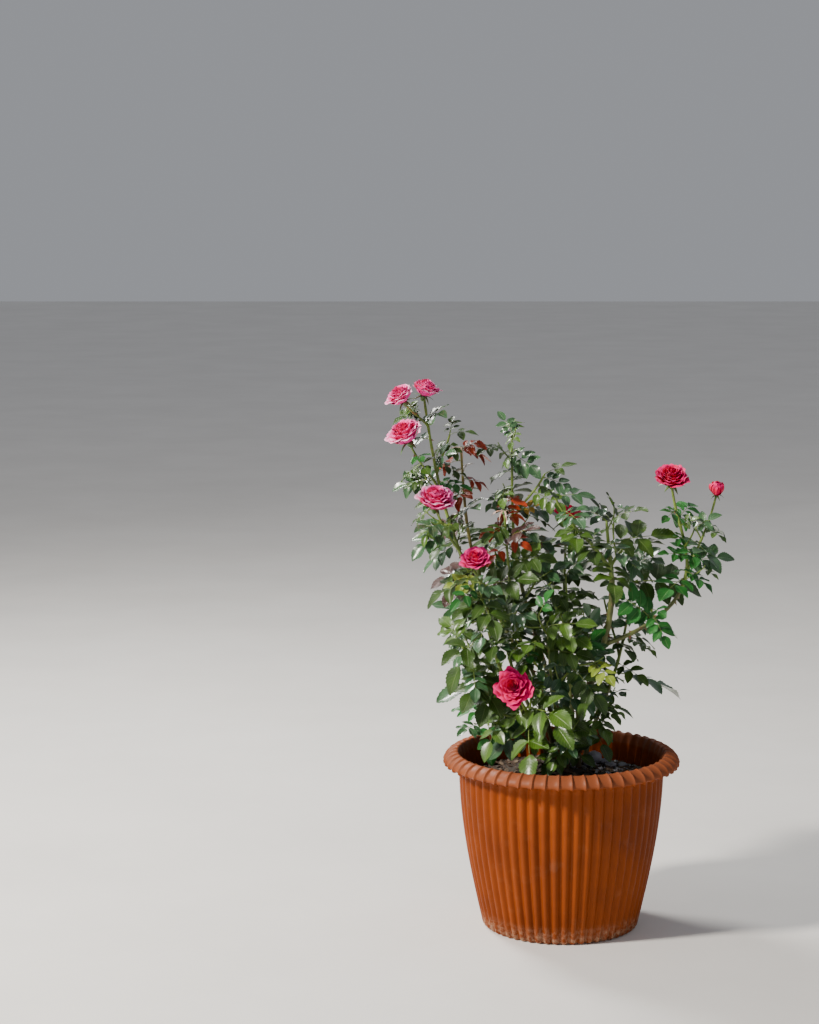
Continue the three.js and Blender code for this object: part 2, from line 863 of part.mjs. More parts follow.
function bloomSolid(foot, axis, size, closed) {
  const side = sideOf(axis, vec(1, 0, 0));
  const other = axis.clone().cross(side);
  const rings = whorls.map(({ radius, height, wave }) =>
    Array.from({ length: 2 * PETALS }, (_, i) => {
      const angle = (i / (2 * PETALS)) * TURN;
      const share = i % 2 ? wave : -wave;
      const narrow = closed && radius > bud.above ? bud.narrow : 1;
      const r = size * radius * (1 - Math.abs(wave) + share) * narrow;
      return foot
        .clone()
        .addScaledVector(side, r * Math.cos(angle))
        .addScaledVector(other, r * Math.sin(angle))
        .addScaledVector(axis, size * (height * (closed ? bud.tall : 1) - share * 0.5));
    }),
  );
  const at = (height) => foot.clone().addScaledVector(axis, size * height);
  return ringsToSolid(rings, at(-0.12), at(closed ? bud.top : 0.78));
}

function bloomSamples(foot, axis, size, owner) {
  return [0.1, 0.4, 0.7].map((height) => ({
    point: foot.clone().addScaledVector(axis, size * height),
    reach: size * (height > 0.3 ? 0.95 : 0.4),
    owner,
    leaf: true,
  }));
}

// Masses
const handleShare = 0.34; // length of a shoot's handles, as a share of its own

function shootCurve(start, leaving, head) {
  const handle = start.distanceTo(head) * handleShare;
  const arriving = head.clone().sub(start).normalize().add(UP).normalize();
  return [
    start,
    start.clone().addScaledVector(leaving, handle),
    head.clone().addScaledVector(arriving, -handle),
    head,
  ];
}

// The shoots of a mass: its stem, and the named shoots that leave it
function planMass(name, mass) {
  const { start, leaving } = startOn(limbs[mass.from], mass.at ?? 1, mass.head, mass.stemRadii[0]);
  const curve = shootCurve(start, leaving, mass.head);
  const first = growth.firstLeaf / start.distanceTo(mass.head);
  const stem = shootOf(curve, { radii: mass.stemRadii, end: mass.end, bare: Math.max(mass.bare, first) });
  const shoots = mass.shoots.map((shoot) => {
    const root = pointOn(stem, shoot.at);
    const towards = shoot.head.clone().sub(root).normalize();
    const heading = bezierTangent(stem.curve, shoot.at).lerp(towards, 0.6).normalize();
    const radii = [between(mass.stemRadii, shoot.at) * growth.shootShare, growth.shootTip];
    const curveOfShoot = shootCurve(root, heading, shoot.head);
    return shootOf(curveOfShoot, { radii, end: shoot.end, bare: growth.shootBare });
  });
  mass.plan = [stem, ...shoots];
  for (const shoot of mass.plan) {
    shoot.leafScale = mass.leafScale;
    shoot.spacing = mass.spacing; // from leaf to leaf
    occupy(shootSamples(shoot, name, {}));
    if (shoot.end.size) {
      shoot.axis = shoot.end.lean.clone().normalize();
      occupy(bloomSamples(shoot.curve[3], shoot.axis, shoot.end.size, name));
    }
  }
}

// Tries a leaf at a node, turning it and then shrinking it until it fits
function tryLeaf(owner, node, tangent, settings, rootReach) {
  for (const smaller of growth.retrySizes) {
    for (const turn of growth.retryTurns) {
      const side = sideOf(tangent, vec(1, 0.2, 0)).applyAxisAngle(tangent, rad(settings.azimuth + turn));
      const along = tangent
        .clone()
        .multiplyScalar(Math.cos(rad(settings.lift)))
        .addScaledVector(side, Math.sin(rad(settings.lift)));
      const leaf = leafOf({ ...settings, root: node, along, size: settings.size * smaller });
      const samples = leafSamples(leaf, owner);
      if (fits(samples, owner, node, rootReach)) {
        occupy(samples);
        return leaf;
      }
    }
  }
  return null;
}

// Grows leaves, and now and then a side twig, at the nodes of one shoot
function dressShoot(owner, shoot, draw, level, found) {
  const length = shoot.curve[0].distanceTo(shoot.curve[3]);
  const count = Math.max(1, Math.round((length * (1 - shoot.bare)) / shoot.spacing));
  const blooms = Boolean(shoot.end.size);
  let azimuth = draw() * 360;
  for (let i = 0; i <= count; i++) {
    const t = shoot.bare + ((1 - shoot.bare) * (i + 0.35)) / (count + 0.35);
    const last = i === count;
    const upper = t > growth.upperFrom;
    azimuth += GOLDEN + between(growth.turnSpread, draw());
    const settings = {
      azimuth,
      lift: between(growth.lift, draw()),
      size: between(growth.size, draw()) * (upper ? growth.upperSize : 1) * shoot.leafScale,
      droop: between(growth.droop, draw()),
      roll: between(growth.roll, draw()),
      pairCount: upper && blooms ? 1 : 2,
      narrow: 1,
    };
    const twigShare = draw();
    const twigSeed = Math.floor(draw() * 1e6);
    if (blooms && length * (1 - t) < growth.peduncle) break;
    const node = pointOn(shoot, t);
    const tangent = bezierTangent(shoot.curve, Math.min(1, t));
    if (last) {
      settings.lift = growth.tipLift;
      settings.size *= growth.tipSize;
      settings.pairCount = 1;
    }
    const leaf = tryLeaf(owner, node, tangent, settings, room.leafRoot);
    if (leaf) found.leaves.push(leaf);
    if (shoot.end.kind === "young" && last) addYoungLeaves(owner, shoot, draw, found);
    const vigour = { leafScale: shoot.leafScale, spacing: shoot.spacing };
    if (!last && level < 1 && twigShare < growth.twigChance) {
      growTwig(owner, node, tangent, azimuth, twigSeed, vigour, found);
    }
  }
}

// A short side twig with leaves of its own
function growTwig(owner, node, tangent, azimuth, seed, vigour, found) {
  const draw = seeded(seed);
  const side = sideOf(tangent, vec(1, 0.2, 0)).applyAxisAngle(tangent, rad(azimuth + 180));
  const heading = tangent.clone().add(side).addScaledVector(UP, 0.3).normalize();
  const head = node.clone().addScaledVector(heading, between(growth.twigLength, draw()));
  const settings = { radii: growth.twigRadii, end: leafy, bare: growth.twigBare, ...vigour };
  const twig = shootOf(shootCurve(node, heading, head), settings);
  const samples = shootSamples(twig, owner, {});
  if (!fits(samples, owner, node, room.twigRoot)) return;
  occupy(samples);
  found.twigs.push(twig);
  dressShoot(owner, twig, draw, 1, found);
}

function addYoungLeaves(owner, shoot, draw, found) {
  for (let i = 0; i < young.count; i++) {
    const t = 1 - young.back * i;
    const settings = {
      azimuth: i * GOLDEN + between(young.turnSpread, draw()),
      lift: young.lift,
      size: young.size * between(young.sizeSpread, draw()),
      droop: young.droop,
      roll: 0,
      pairCount: 1,
      narrow: young.narrow,
    };
    const tangent = bezierTangent(shoot.curve, t);
    const leaf = tryLeaf(owner, pointOn(shoot, t), tangent, settings, room.youngRoot);
    if (leaf) found.leaves.push(leaf);
  }
}

function growMass(name, mass) {
  const found = { leaves: [], twigs: [] };
  mass.plan.forEach((shoot, i) => dressShoot(name, shoot, seeded(mass.seed * 100 + i), 0, found));
  return found;
}

function massSolid(mass, grown) {
  const twigs = [...mass.plan, ...grown.twigs].map((shoot) => {
    const shares = steps(shoot.knots.length - 1);
    return thinSolid(stick(shoot.curve, shares, shares.map((t) => between(shoot.radii, t)), 3));
  });
  const blooms = mass.plan
    .filter((shoot) => shoot.axis)
    .map((shoot) => bloomSolid(shoot.curve[3], shoot.axis, shoot.end.size, shoot.end.kind === "bud"));
  const joined = wasm.Manifold.union([...twigs, ...grown.leaves.flatMap(leafSolids), ...blooms]);
  const bodies = joined.decompose().sort((a, b) => b.volume() - a.volume());
  return bodies[0];
}

// The whole plant
const plant = new THREE.Group();
plant.add(meshOf("pot", potSolid(), paints.pot));
plant.add(meshOf("soil", soilSolid(), paints.soil));
pebbles.forEach((pebble, i) => {
  plant.add(meshOf("pebble_" + (i + 1), pebbleSolid(pebble, pebbleSeed + i), paints.pebble));
});

setLimbs();
for (const [name, limb] of Object.entries(limbs)) {
  plant.add(meshOf(name, limbSolid(limb), paints.cane));
}

for (const [name, mass] of Object.entries(masses)) planMass(name, mass);
for (const [name, mass] of Object.entries(masses)) {
  plant.add(meshOf(name, massSolid(mass, growMass(name, mass)), paints.foliage));
}

export default plant;
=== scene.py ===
import json
import math

import bpy
import numpy as np
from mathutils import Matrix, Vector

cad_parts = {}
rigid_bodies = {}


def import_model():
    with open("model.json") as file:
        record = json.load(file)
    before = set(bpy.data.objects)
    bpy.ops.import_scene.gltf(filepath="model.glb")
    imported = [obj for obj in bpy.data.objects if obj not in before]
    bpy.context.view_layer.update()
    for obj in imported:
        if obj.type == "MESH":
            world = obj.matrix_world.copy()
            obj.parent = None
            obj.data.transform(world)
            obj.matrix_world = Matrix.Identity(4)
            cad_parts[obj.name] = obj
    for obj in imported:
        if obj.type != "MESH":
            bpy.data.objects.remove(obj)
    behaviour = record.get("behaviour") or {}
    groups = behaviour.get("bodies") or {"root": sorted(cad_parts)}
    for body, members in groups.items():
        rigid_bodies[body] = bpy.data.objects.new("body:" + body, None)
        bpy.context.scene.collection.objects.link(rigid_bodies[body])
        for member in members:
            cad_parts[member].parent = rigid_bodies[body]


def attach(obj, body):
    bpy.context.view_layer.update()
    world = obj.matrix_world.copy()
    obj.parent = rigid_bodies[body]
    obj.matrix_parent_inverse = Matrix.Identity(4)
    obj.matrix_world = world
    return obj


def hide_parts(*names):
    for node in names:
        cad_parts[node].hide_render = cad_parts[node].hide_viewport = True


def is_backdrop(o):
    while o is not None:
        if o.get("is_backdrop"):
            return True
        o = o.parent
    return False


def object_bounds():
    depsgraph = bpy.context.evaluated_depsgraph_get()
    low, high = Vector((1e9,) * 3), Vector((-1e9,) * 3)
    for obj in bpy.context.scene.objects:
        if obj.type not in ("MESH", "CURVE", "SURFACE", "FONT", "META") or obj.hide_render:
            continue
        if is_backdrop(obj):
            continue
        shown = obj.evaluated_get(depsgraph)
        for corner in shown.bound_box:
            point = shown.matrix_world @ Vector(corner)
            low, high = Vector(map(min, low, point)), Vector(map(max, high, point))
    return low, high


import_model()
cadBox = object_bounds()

# A rose bush in a pleated pot. Sizes are in millimetres until a mesh is made, and +Z is up.
# The growth rule is the one that made the solids, carried on to finer leaves.

mm = 0.001

pot = {
    "height": 265,
    "baseRadius": 115,
    "bellyRise": 36.5,  # how much wider than its foot it gets
    "fullAt": 250,  # and the height where it is that wide
    "wall": 2.6,
    "floor": 5,
    "pleats": 56,
    "pleatDepth": 4.4,
    "footChamfer": 4,
    "wallRows": 18,
    "ribSharpness": 1.25,
    "stepAt": 0.82,  # share of a collar pleat where its crest stands
    "stepWidth": 0.12,
    "stepClimb": 4.5,  # how late and how steeply it rises to its crest
    "grooveScale": 1.15,  # the wall's grooves, beside those of the solid
    "innerRows": 8,
    "innerStart": 4,
    "innerFoot": 201,  # the height under the soil where the inner wall ends
    "innerGap": 0.6,
    "innerGroove": 0.7,  # depth of the grooves at its top, as a share of their own
    "innerFade": 3,  # rows down to where they have it all
}
rim = {"radius": 175, "mouthRadius": 153, "outerEdge": 248, "thickness": 3, "pleatDepth": 2.8}
soil = {
    "edgeHeight": 221,
    "moundRise": 10,
    "crownX": 10,
    "crownY": 38,
    "moundFlat": 34,
    "seed": 77,
    "lumps": 2.6,  # height of the crumbs on it
    "swellShare": 0.45,  # how much of it is in broad swells
    "crumbShare": 0.8,  # and in single crumbs
    "rings": 46,
    "sectors": 150,
    "past": 1.2,  # how far its edge goes into the wall
}
clear = 0.3  # gap that the solids keep between them

leafSize = {
    "rachis": 64,
    "shortStalk": 0.72,
    "leaflet": 51,
    "widthShare": 0.67,
    "widestAt": 0.46,
    "endShare": 1.06,
    "hang": 0.16,
    "droopShare": 0.5,  # how much of a leaf's droop the leaflet at its tip takes on
    "stalkRadius": 0.85,
}
pairs = [{"at": 0.3, "angle": 74, "size": 0.76}, {"at": 0.68, "angle": 64, "size": 0.9}]
goldenTurn = 137.5

# Room that each thing keeps round itself, and how near its own root that isn't asked for
room = {
    "leaflet": 4.2,
    "stalk": 2,
    "twig": 1.6,
    "ownEase": 0.72,
    "trunkShare": 0.4,
    "leafRoot": 16,
    "twigRoot": 14,
    "youngRoot": 30,
    "rimGap": 4,
    "belowRim": 60,
}


def vec(x, y, z):
    return np.array((x, y, z), float)


limbs = {
    "cane_main": {
        "curve": [(24, 40, 0), (20, 38, 332), (80, 20, 408), (73, 14, 520)],
        "radii": (5.4, 4.2),
    },
    "cane_left": {
        "curve": [(-2, 42, 0), (-22, 34, 345), (-84, 16, 418), (-130, 6, 512)],
        "radii": (3.8, 2.9),
    },
    "cane_bronze_left": {
        "curve": [(-5, 59, 0), (-20, 58, 344), (-84, 58, 430), (-118, 46, 512)],
        "radii": (3.6, 2.9),
    },
    "cane_bronze_mid": {
        "curve": [(10, 32, 0), (0, 22, 300), (-26, 8, 340), (-48, 2, 392)],
        "radii": (3.6, 2.9),
    },
    "cane_high": {
        "curve": [(8, 56, 0), (4, 60, 330), (-40, 64, 420), (-60, 56, 510)],
        "radii": (3.6, 2.8),
    },
    "cane_pink": {
        "curve": [(-13, 30, 0), (-30, 10, 290), (-58, -14, 320), (-80, -28, 366)],
        "radii": (3.5, 2.8),
    },
    "cane_front": {
        "curve": [(-4, 17, 0), (-10, 0, 262), (-22, -20, 278), (-34, -38, 304)],
        "radii": (3.3, 2.6),
    },
    "cane_mid": {
        "curve": [(9, 19, 0), (6, 8, 270), (-4, -6, 296), (-10, -14, 330)],
        "radii": (3.4, 2.7),
    },
    "cane_right_mid": {
        "curve": [(27, 25, 0), (30, 24, 276), (26, 22, 310), (20, 22, 356)],
        "radii": (3.5, 2.8),
    },
    "cane_back_left": {
        "curve": [(-16, 47, 0), (-24, 62, 280), (-42, 76, 306), (-58, 88, 340)],
        "radii": (3.5, 2.8),
    },
    "cane_back_mid": {
        "curve": [(21, 62, 0), (24, 78, 290), (20, 94, 320), (14, 102, 366)],
        "radii": (3.6, 2.8),
    },
    "cane_back_right": {
        "curve": [(37, 51, 0), (46, 60, 280), (62, 74, 306), (76, 82, 340)],
        "radii": (3.5, 2.8),
    },
}
sideBoughs = {
    "bough_right": {
        "parent": "cane_main",
        "at": 0.68,
        "curve": [(112, 26, 436), (158, 34, 458), (178, 34, 500)],
        "radii": (3.4, 2.6),
        "seat": 1.15,
    },
}

# What each mass of leaves grows from, where its shoots go, and what each shoot ends in.
# Its fill is the share of the places for finer leaves and twigs that are used.
leafy = {"kind": "leaf"}


def bloomEnd(size, x, y, z, petals="crimson", kind="bloom"):
    return {"kind": kind, "size": size, "lean": vec(x, y, z), "petals": petals}


masses = {
    "left_high": {
        "from": "cane_left", "head": (-204, 18, 790), "stemRadii": (2.9, 1.8),
        "end": bloomEnd(22, 0.3, -0.2, 1, "pink"),
        "shoots": [
            {"at": 0.5, "head": (-226, -6, 726), "end": bloomEnd(29, -0.5, -0.4, 1, "pink")},
            {"at": 0.84, "head": (-233, -12, 784), "end": bloomEnd(23, -0.6, -0.3, 1, "pink")},
            {"at": 0.6, "head": (-166, 20, 732), "end": leafy},
        ],
        "leafScale": 0.76, "spacing": 34, "bare": 0.08, "seed": 22, "fill": 0.3, "tints": "mixed",
    },
    "left_side": {
        "from": "cane_left", "at": 0.85, "head": (-188, -22, 632), "stemRadii": (2.6, 1.7),
        "end": bloomEnd(29, 0.1, -0.5, 1, "pink"),
        "shoots": [],
        "leafScale": 0.84, "spacing": 25, "bare": 0.12, "seed": 54, "fill": 0.45, "tints": "dark",
    },
    "bronze_left": {
        "from": "cane_bronze_left", "head": (-149, 40, 706), "stemRadii": (2.9, 1.6),
        "end": {"kind": "young"},
        "shoots": [],
        "leafScale": 0.82, "spacing": 33, "bare": 0.06, "seed": 29, "fill": 0.15, "tints": "bronze",
    },
    "bronze_mid": {
        "from": "cane_bronze_mid", "head": (-86, -6, 618), "stemRadii": (2.8, 1.6),
        "end": {"kind": "young"},
        "shoots": [{"at": 0.35, "head": (-40, -10, 520), "end": leafy}],
        "leafScale": 0.96, "spacing": 38, "bare": 0.04, "seed": 28, "fill": 0.15, "tints": "dark",
    },
    "upper_mid": {
        "from": "cane_high", "head": (-74, 50, 730), "stemRadii": (2.7, 1.5),
        "end": leafy,
        "shoots": [{"at": 0.42, "head": (-26, 34, 672), "end": leafy}],
        "leafScale": 0.86, "spacing": 31, "bare": 0.06, "seed": 12, "fill": 0.55, "tints": "blue",
    },
    "pink_side": {
        "from": "cane_pink", "head": (-127, -46, 551), "stemRadii": (2.7, 1.7),
        "end": bloomEnd(23, -0.25, -0.7, 1, "rose"),
        "shoots": [
            {"at": 0.12, "head": (-150, -40, 430), "end": leafy},
            {"at": 0.3, "head": (-84, -64, 480), "end": leafy},
        ],
        "leafScale": 0.98, "spacing": 28, "bare": 0.05, "seed": 6, "fill": 0.5, "tints": "mixed",
    },
    "front_bloom": {
        "from": "cane_front", "head": (-72, -78, 374), "stemRadii": (2.6, 1.9),
        "end": bloomEnd(31, -0.25, -1.2, 0.5),
        "shoots": [{"at": 0.15, "head": (-104, -52, 340), "end": leafy}],
        "leafScale": 1, "spacing": 19, "bare": 0.05, "seed": 61, "fill": 0.9, "tints": "mid",
    },
    "mid_shoot": {
        "from": "cane_mid", "head": (-24, -34, 462), "stemRadii": (2.7, 1.4),
        "end": leafy,
        "shoots": [
            {"at": 0.2, "head": (22, -44, 412), "end": leafy},
            {"at": 0.3, "head": (-58, -58, 430), "end": leafy},
        ],
        "leafScale": 0.95, "spacing": 22, "bare": 0.04, "seed": 24, "fill": 0.42, "tints": "mixed",
    },
    "right_mid": {
        "from": "cane_right_mid", "head": (6, 26, 522), "stemRadii": (2.7, 1.4),
        "end": leafy,
        "shoots": [
            {"at": 0.2, "head": (46, 6, 440), "end": leafy},
            {"at": 0.45, "head": (-20, -6, 505), "end": leafy},
        ],
        "leafScale": 1, "spacing": 34, "bare": 0.04, "seed": 1, "fill": 0.25, "tints": "blue",
    },
    "arch_head": {
        "from": "cane_main", "head": (64, 8, 606), "stemRadii": (3.9, 1.8),
        "end": leafy,
        "shoots": [
            {"at": 0.1, "head": (-14, 4, 646), "end": leafy},
            {"at": 0.2, "head": (96, 30, 572), "end": leafy},
        ],
        "leafScale": 0.96, "spacing": 32, "bare": 0.05, "seed": 60, "fill": 0.3, "tints": "blue",
    },
    "right_spray": {
        "from": "bough_right", "head": (160, 22, 660), "stemRadii": (2.6, 1.9),
        "end": bloomEnd(26, -0.05, -0.6, 1),
        "shoots": [{"at": 0.06, "head": (227, 30, 642), "end": bloomEnd(14, 0, -0.4, 1, "crimson", "bud")}],
        "leafScale": 0.84, "spacing": 25, "bare": 0.02, "seed": 23, "fill": 0.3, "tints": "fresh",
    },
    "right_low": {
        "from": "bough_right", "at": 0.5, "head": (130, -14, 478), "stemRadii": (2.2, 1.3),
        "end": leafy,
        "shoots": [],
        "leafScale": 0.8, "spacing": 22, "bare": 0.1, "seed": 10, "fill": 0.4, "tints": "fresh",
    },
    "skirt_right": {
        "from": "cane_main", "at": 0.22, "head": (58, 0, 334), "stemRadii": (2.2, 1.3),
        "end": leafy,
        "shoots": [],
        "leafScale": 0.84, "spacing": 17, "bare": 0.1, "seed": 17, "fill": 0.45, "tints": "shade",
    },
    "skirt_left": {
        "from": "cane_pink", "at": 0.5, "head": (-116, -22, 322), "stemRadii": (2.2, 1.3),
        "end": leafy,
        "shoots": [],
        "leafScale": 0.95, "spacing": 15, "bare": 0.1, "seed": 14, "fill": 0.9, "tints": "mid",
    },
    "skirt_front": {
        "from": "cane_mid", "at": 0.4, "head": (8, -72, 304), "stemRadii": (2.2, 1.3),
        "end": leafy,
        "shoots": [],
        "leafScale": 0.95, "spacing": 15, "bare": 0.1, "seed": 78, "fill": 0.7, "tints": "mid",
    },
    "back_left": {
        "from": "cane_back_left", "head": (-96, 112, 550), "stemRadii": (2.7, 1.4),
        "end": leafy,
        "shoots": [{"at": 0.3, "head": (-140, 96, 500), "end": leafy}],
        "leafScale": 1.14, "spacing": 54, "bare": 0.04, "seed": 80, "fill": 0.25, "tints": "dark",
    },
    "back_mid": {
        "from": "cane_back_mid", "head": (10, 104, 590), "stemRadii": (2.7, 1.6),
        "end": bloomEnd(25, 0.1, 0.5, 1),
        "shoots": [{"at": 0.3, "head": (-24, 134, 520), "end": leafy}],
        "leafScale": 1.12, "spacing": 52, "bare": 0.04, "seed": 6, "fill": 0.2, "tints": "mid",
    },
    "back_right": {
        "from": "cane_back_right", "head": (112, 92, 530), "stemRadii": (2.7, 1.4),
        "end": leafy,
        "shoots": [{"at": 0.25, "head": (70, 120, 470), "end": leafy}],
        "leafScale": 1.1, "spacing": 45, "bare": 0.04, "seed": 2, "fill": 0.2, "tints": "shade",
    },
    "skirt_back": {
        "from": "cane_back_mid", "at": 0.4, "head": (50, 122, 340), "stemRadii": (2.2, 1.3),
        "end": leafy,
        "shoots": [],
        "leafScale": 1.05, "spacing": 25, "bare": 0.1, "seed": 11, "fill": 0.9, "tints": "mid",
    },
}

growth = {
    "seedStep": 100,
    "firstLeaf": 9,
    "offset": 0.35,  # from the bare foot to the first leaf, in steps between leaves
    "lift": (48, 78),  # degrees between a leaf and its stem
    "droop": (0.3, 0.75),
    "size": (0.78, 1.05),
    "roll": (-24, 24),
    "turnSpread": (-18, 18),
    "upperFrom": 0.62,
    "upperSize": 0.82,
    "peduncle": 24,  # bare length below a bloom
    "tipLift": 26,
    "tipSize": 0.85,
    "twigChance": 0.06,
    "twigLength": (36, 60),
    "twigRadii": (1.6, 1.1),
    "twigRise": 0.3,
    "twigBare": 0.3,
    "shootTip": 1.5,
    "shootShare": 0.85,
    "shootBare": 0.12,
    "retryTurns": (0, 45, -45, 90, -90, 150, -150),  # tried one after another until a leaf fits
    "retrySizes": (1, 0.82, 0.66),
    "outward": 0.5,  # how far leaves face away from the middle of the bush
    "light": vec(-0.15, -0.7, 0),  # and towards the light
}
young = {
    "count": 5,
    "size": 0.56,
    "sizeSpread": (0.9, 1.15),
    "turnSpread": (-20, 20),
    "lift": 62,
    "droop": 0.75,
    "narrow": 0.6,
    "back": 0.07,
    "bronzeFrom": 0.76,  # share of a young shoot where its leaves turn bronze, and then red
    "redFrom": 0.93,
    "tipDroop": 1.6,
}
fine = {  # the finer leaves and twigs between the source's own
    "seedStep": 700,
    "spacing": 11,
    "size": (0.44, 0.7),
    "turns": (0, 60, -60, 120, -120, 180),
    "sizes": (1, 0.8),
    "ease": 0.5,  # share of the usual spacing that they keep
    "pairsShare": 0.6,  # share of the leaves that have two pairs of leaflets
    "narrow": 0.95,
    "twigGap": 26,
    "twigLength": (26, 48),
    "twigRadii": (1.2, 0.8),
    "twigSpacing": 11,
    "twigBare": 0.2,
    "twigLeafScale": 0.9,
    "twigRise": 0.4,
    "twigLean": 0.7,  # how far it keeps to the way of its shoot
    "twigEnd": 2.4,  # its distance from a bloom, in lengths of the bloom's own stalk
}

up = vec(0, 0, 1)
zeroSide = vec(1, 0.2, 0)  # where turns round a stem are counted from
fullTurn = 6.28  # radians, rounded


def seeded(seed):
    state = seed & 0xFFFFFFFF

    def draw():
        nonlocal state
        state = (state * 1664525 + 1013904223) & 0xFFFFFFFF
        return state / 4294967296

    for _ in range(4):
        draw()
    return draw


def between(ends, share):
    return ends[0] + (ends[1] - ends[0]) * share


def nearOne(spread, draw):
    return 1 - spread / 2 + spread * draw()


def unit(v):
    return v / math.sqrt(v @ v)


def cross(a, b):
    return vec(a[1] * b[2] - a[2] * b[1], a[2] * b[0] - a[0] * b[2], a[0] * b[1] - a[1] * b[0])


def turned(v, axis, degrees):
    angle = math.radians(degrees)
    c, s = math.cos(angle), math.sin(angle)
    return v * c + cross(axis, v) * s + axis * ((axis @ v) * (1 - c))


def sideOf(direction, towards):
    side = towards - direction * (towards @ direction)
    if side @ side < 1e-6:
        side = vec(1, 0, 0) - direction * direction[0]
    return unit(side)


def bezier(curve, t):
    s = 1 - t
    low = curve[0] * (s * s * s) + curve[1] * (3 * s * s * t)
    return low + curve[2] * (3 * s * t * t) + curve[3] * (t * t * t)


def bezierTangent(curve, t):
    step = 0.01
    return unit(bezier(curve, min(1, t + step)) - bezier(curve, max(0, t - step)))


def distance(a, b):
    d = a - b
    return math.sqrt(d @ d)


# Where the pot and the soil are
def potRadius(z):
    return pot["baseRadius"] + pot["bellyRise"] * math.sin(math.pi / 2 * min(1, z / pot["fullAt"]))


def potInside(z):
    top = rim["outerEdge"] - rim["thickness"]
    share = (z - pot["floor"]) / (top - pot["floor"])
    return between((potRadius(pot["floor"]), potRadius(top)), share) - pot["wall"]


soilRadius = potInside(soil["edgeHeight"]) - pot["pleatDepth"] - 2 * clear
crownHeight = soil["edgeHeight"] + soil["moundRise"]


def soilTop(x, y):
    dx, dy = x - soil["crownX"], y - soil["crownY"]
    away = math.hypot(dx, dy)
    if away <= soil["moundFlat"]:
        return crownHeight
    along = (dx * soil["crownX"] + dy * soil["crownY"]) / away
    apart = soil["crownX"] ** 2 + soil["crownY"] ** 2 - soilRadius ** 2
    slopeEnd = math.sqrt(along ** 2 - apart) - along
    share = min(1, (away - soil["moundFlat"]) / (slopeEnd - soil["moundFlat"]))
    return soil["edgeHeight"] + soil["moundRise"] * (1 - share)


# Space keeping, with sample points in cells
cellSize = 16
mostSamples = 400000
space = {
    "points": np.zeros((mostSamples, 3)),
    "cells": np.zeros((mostSamples, 3), np.int32),
    "reach": np.zeros(mostSamples),
    "owner": np.zeros(mostSamples, np.int32),
    "leaf": np.zeros(mostSamples, bool),
    "trunk": np.zeros(mostSamples, bool),
    "count": 0,
}
ownerIds = {name: i for i, name in enumerate([*limbs, *sideBoughs, *masses])}


def occupy(points, reach, owner, leaf=False, trunk=False):
    start = space["count"]
    end = start + len(points)
    space["points"][start:end] = points
    space["cells"][start:end] = np.floor(points / cellSize)
    space["reach"][start:end] = reach
    space["owner"][start:end] = ownerIds[owner]
    space["leaf"][start:end] = leaf
    space["trunk"][start:end] = trunk
    space["count"] = end


def clearOfPot(point, reach):
    away = math.hypot(point[0], point[1])
    if point[2] > pot["height"] + reach:
        return True
    if away > rim["radius"] + reach:
        return point[2] > rim["outerEdge"] - room["belowRim"]
    if away >= rim["mouthRadius"] - reach - room["rimGap"]:
        return False
    return point[2] > soilTop(point[0], point[1]) + reach


def fits(points, reach, owner, root, rootReach, ease):
    low = points[:, 2] <= pot["height"] + reach
    for i in np.flatnonzero(low):
        if not clearOfPot(points[i], reach[i]):
            return False
    n = space["count"]
    cells = np.floor(points / cellSize).astype(np.int32)
    known = space["cells"][:n]
    inBox = np.all((known >= cells.min(0) - 1) & (known <= cells.max(0) + 1), axis=1)
    near = np.flatnonzero(inBox)
    if len(near) == 0:
        return True
    others = space["points"][near]
    own = space["owner"][near] == ownerIds[owner]
    fromRoot = np.sqrt(((others - root) ** 2).sum(1))
    free = own & ~space["leaf"][near] & (fromRoot < rootReach)
    free |= ~own & space["trunk"][near] & (fromRoot < rootReach * room["trunkShare"])
    near, others, own = near[~free], others[~free], own[~free]
    apart = np.sqrt(((points[:, None] - others[None]) ** 2).sum(2))
    needed = (space["reach"][near][None] + reach[:, None]) * np.where(own, ease["own"], ease["others"])[None]
    tight = apart <= needed
    if not tight.any():
        return True
    i, j = np.nonzero(tight)
    return not np.any(np.abs(cells[i] - space["cells"][near][j]).max(1) <= 1)


# Shoots
runLength = 45
sampleGap = 5
handleShare = 0.34
forkLean = 0.6  # how far a stem leans along the limb that it leaves
forkTurn = 0.6  # how far a side shoot turns towards its tip where it starts
bloomRoom = {"heights": (0.1, 0.4, 0.7), "reach": (0.4, 0.95, 0.95)}  # as shares of its size


def shootOf(curve, **settings):
    count = max(2, math.floor(distance(curve[0], curve[3]) / runLength + 0.5))
    knots = [bezier(curve, i / count) for i in range(count + 1)]
    return {"curve": curve, "knots": knots, **settings}


def pointOn(shoot, t):
    place = min(0.9999, t) * (len(shoot["knots"]) - 1)
    run = math.floor(place)
    start, end = shoot["knots"][run], shoot["knots"][run + 1]
    return start + (end - start) * (place - run)


def shootSamples(shoot):
    count = math.ceil(distance(shoot["curve"][0], shoot["curve"][3]) / sampleGap)
    shares = [i / count for i in range(count + 1)]
    points = np.array([pointOn(shoot, t) for t in shares])
    reach = np.array([between(shoot["radii"], t) + room["twig"] for t in shares])
    return points, reach


def startOn(limb, at, head, radius):
    centre = bezier(limb["curve"], at)
    tangent = bezierTangent(limb["curve"], at)
    if at == 1:
        return centre + tangent * clear, tangent, tangent
    away = sideOf(tangent, head - centre)
    leaving = unit(away + tangent * forkLean)
    off = between(limb["radii"], at) + clear + radius * abs(leaving @ tangent)
    return centre + away * off, leaving, away


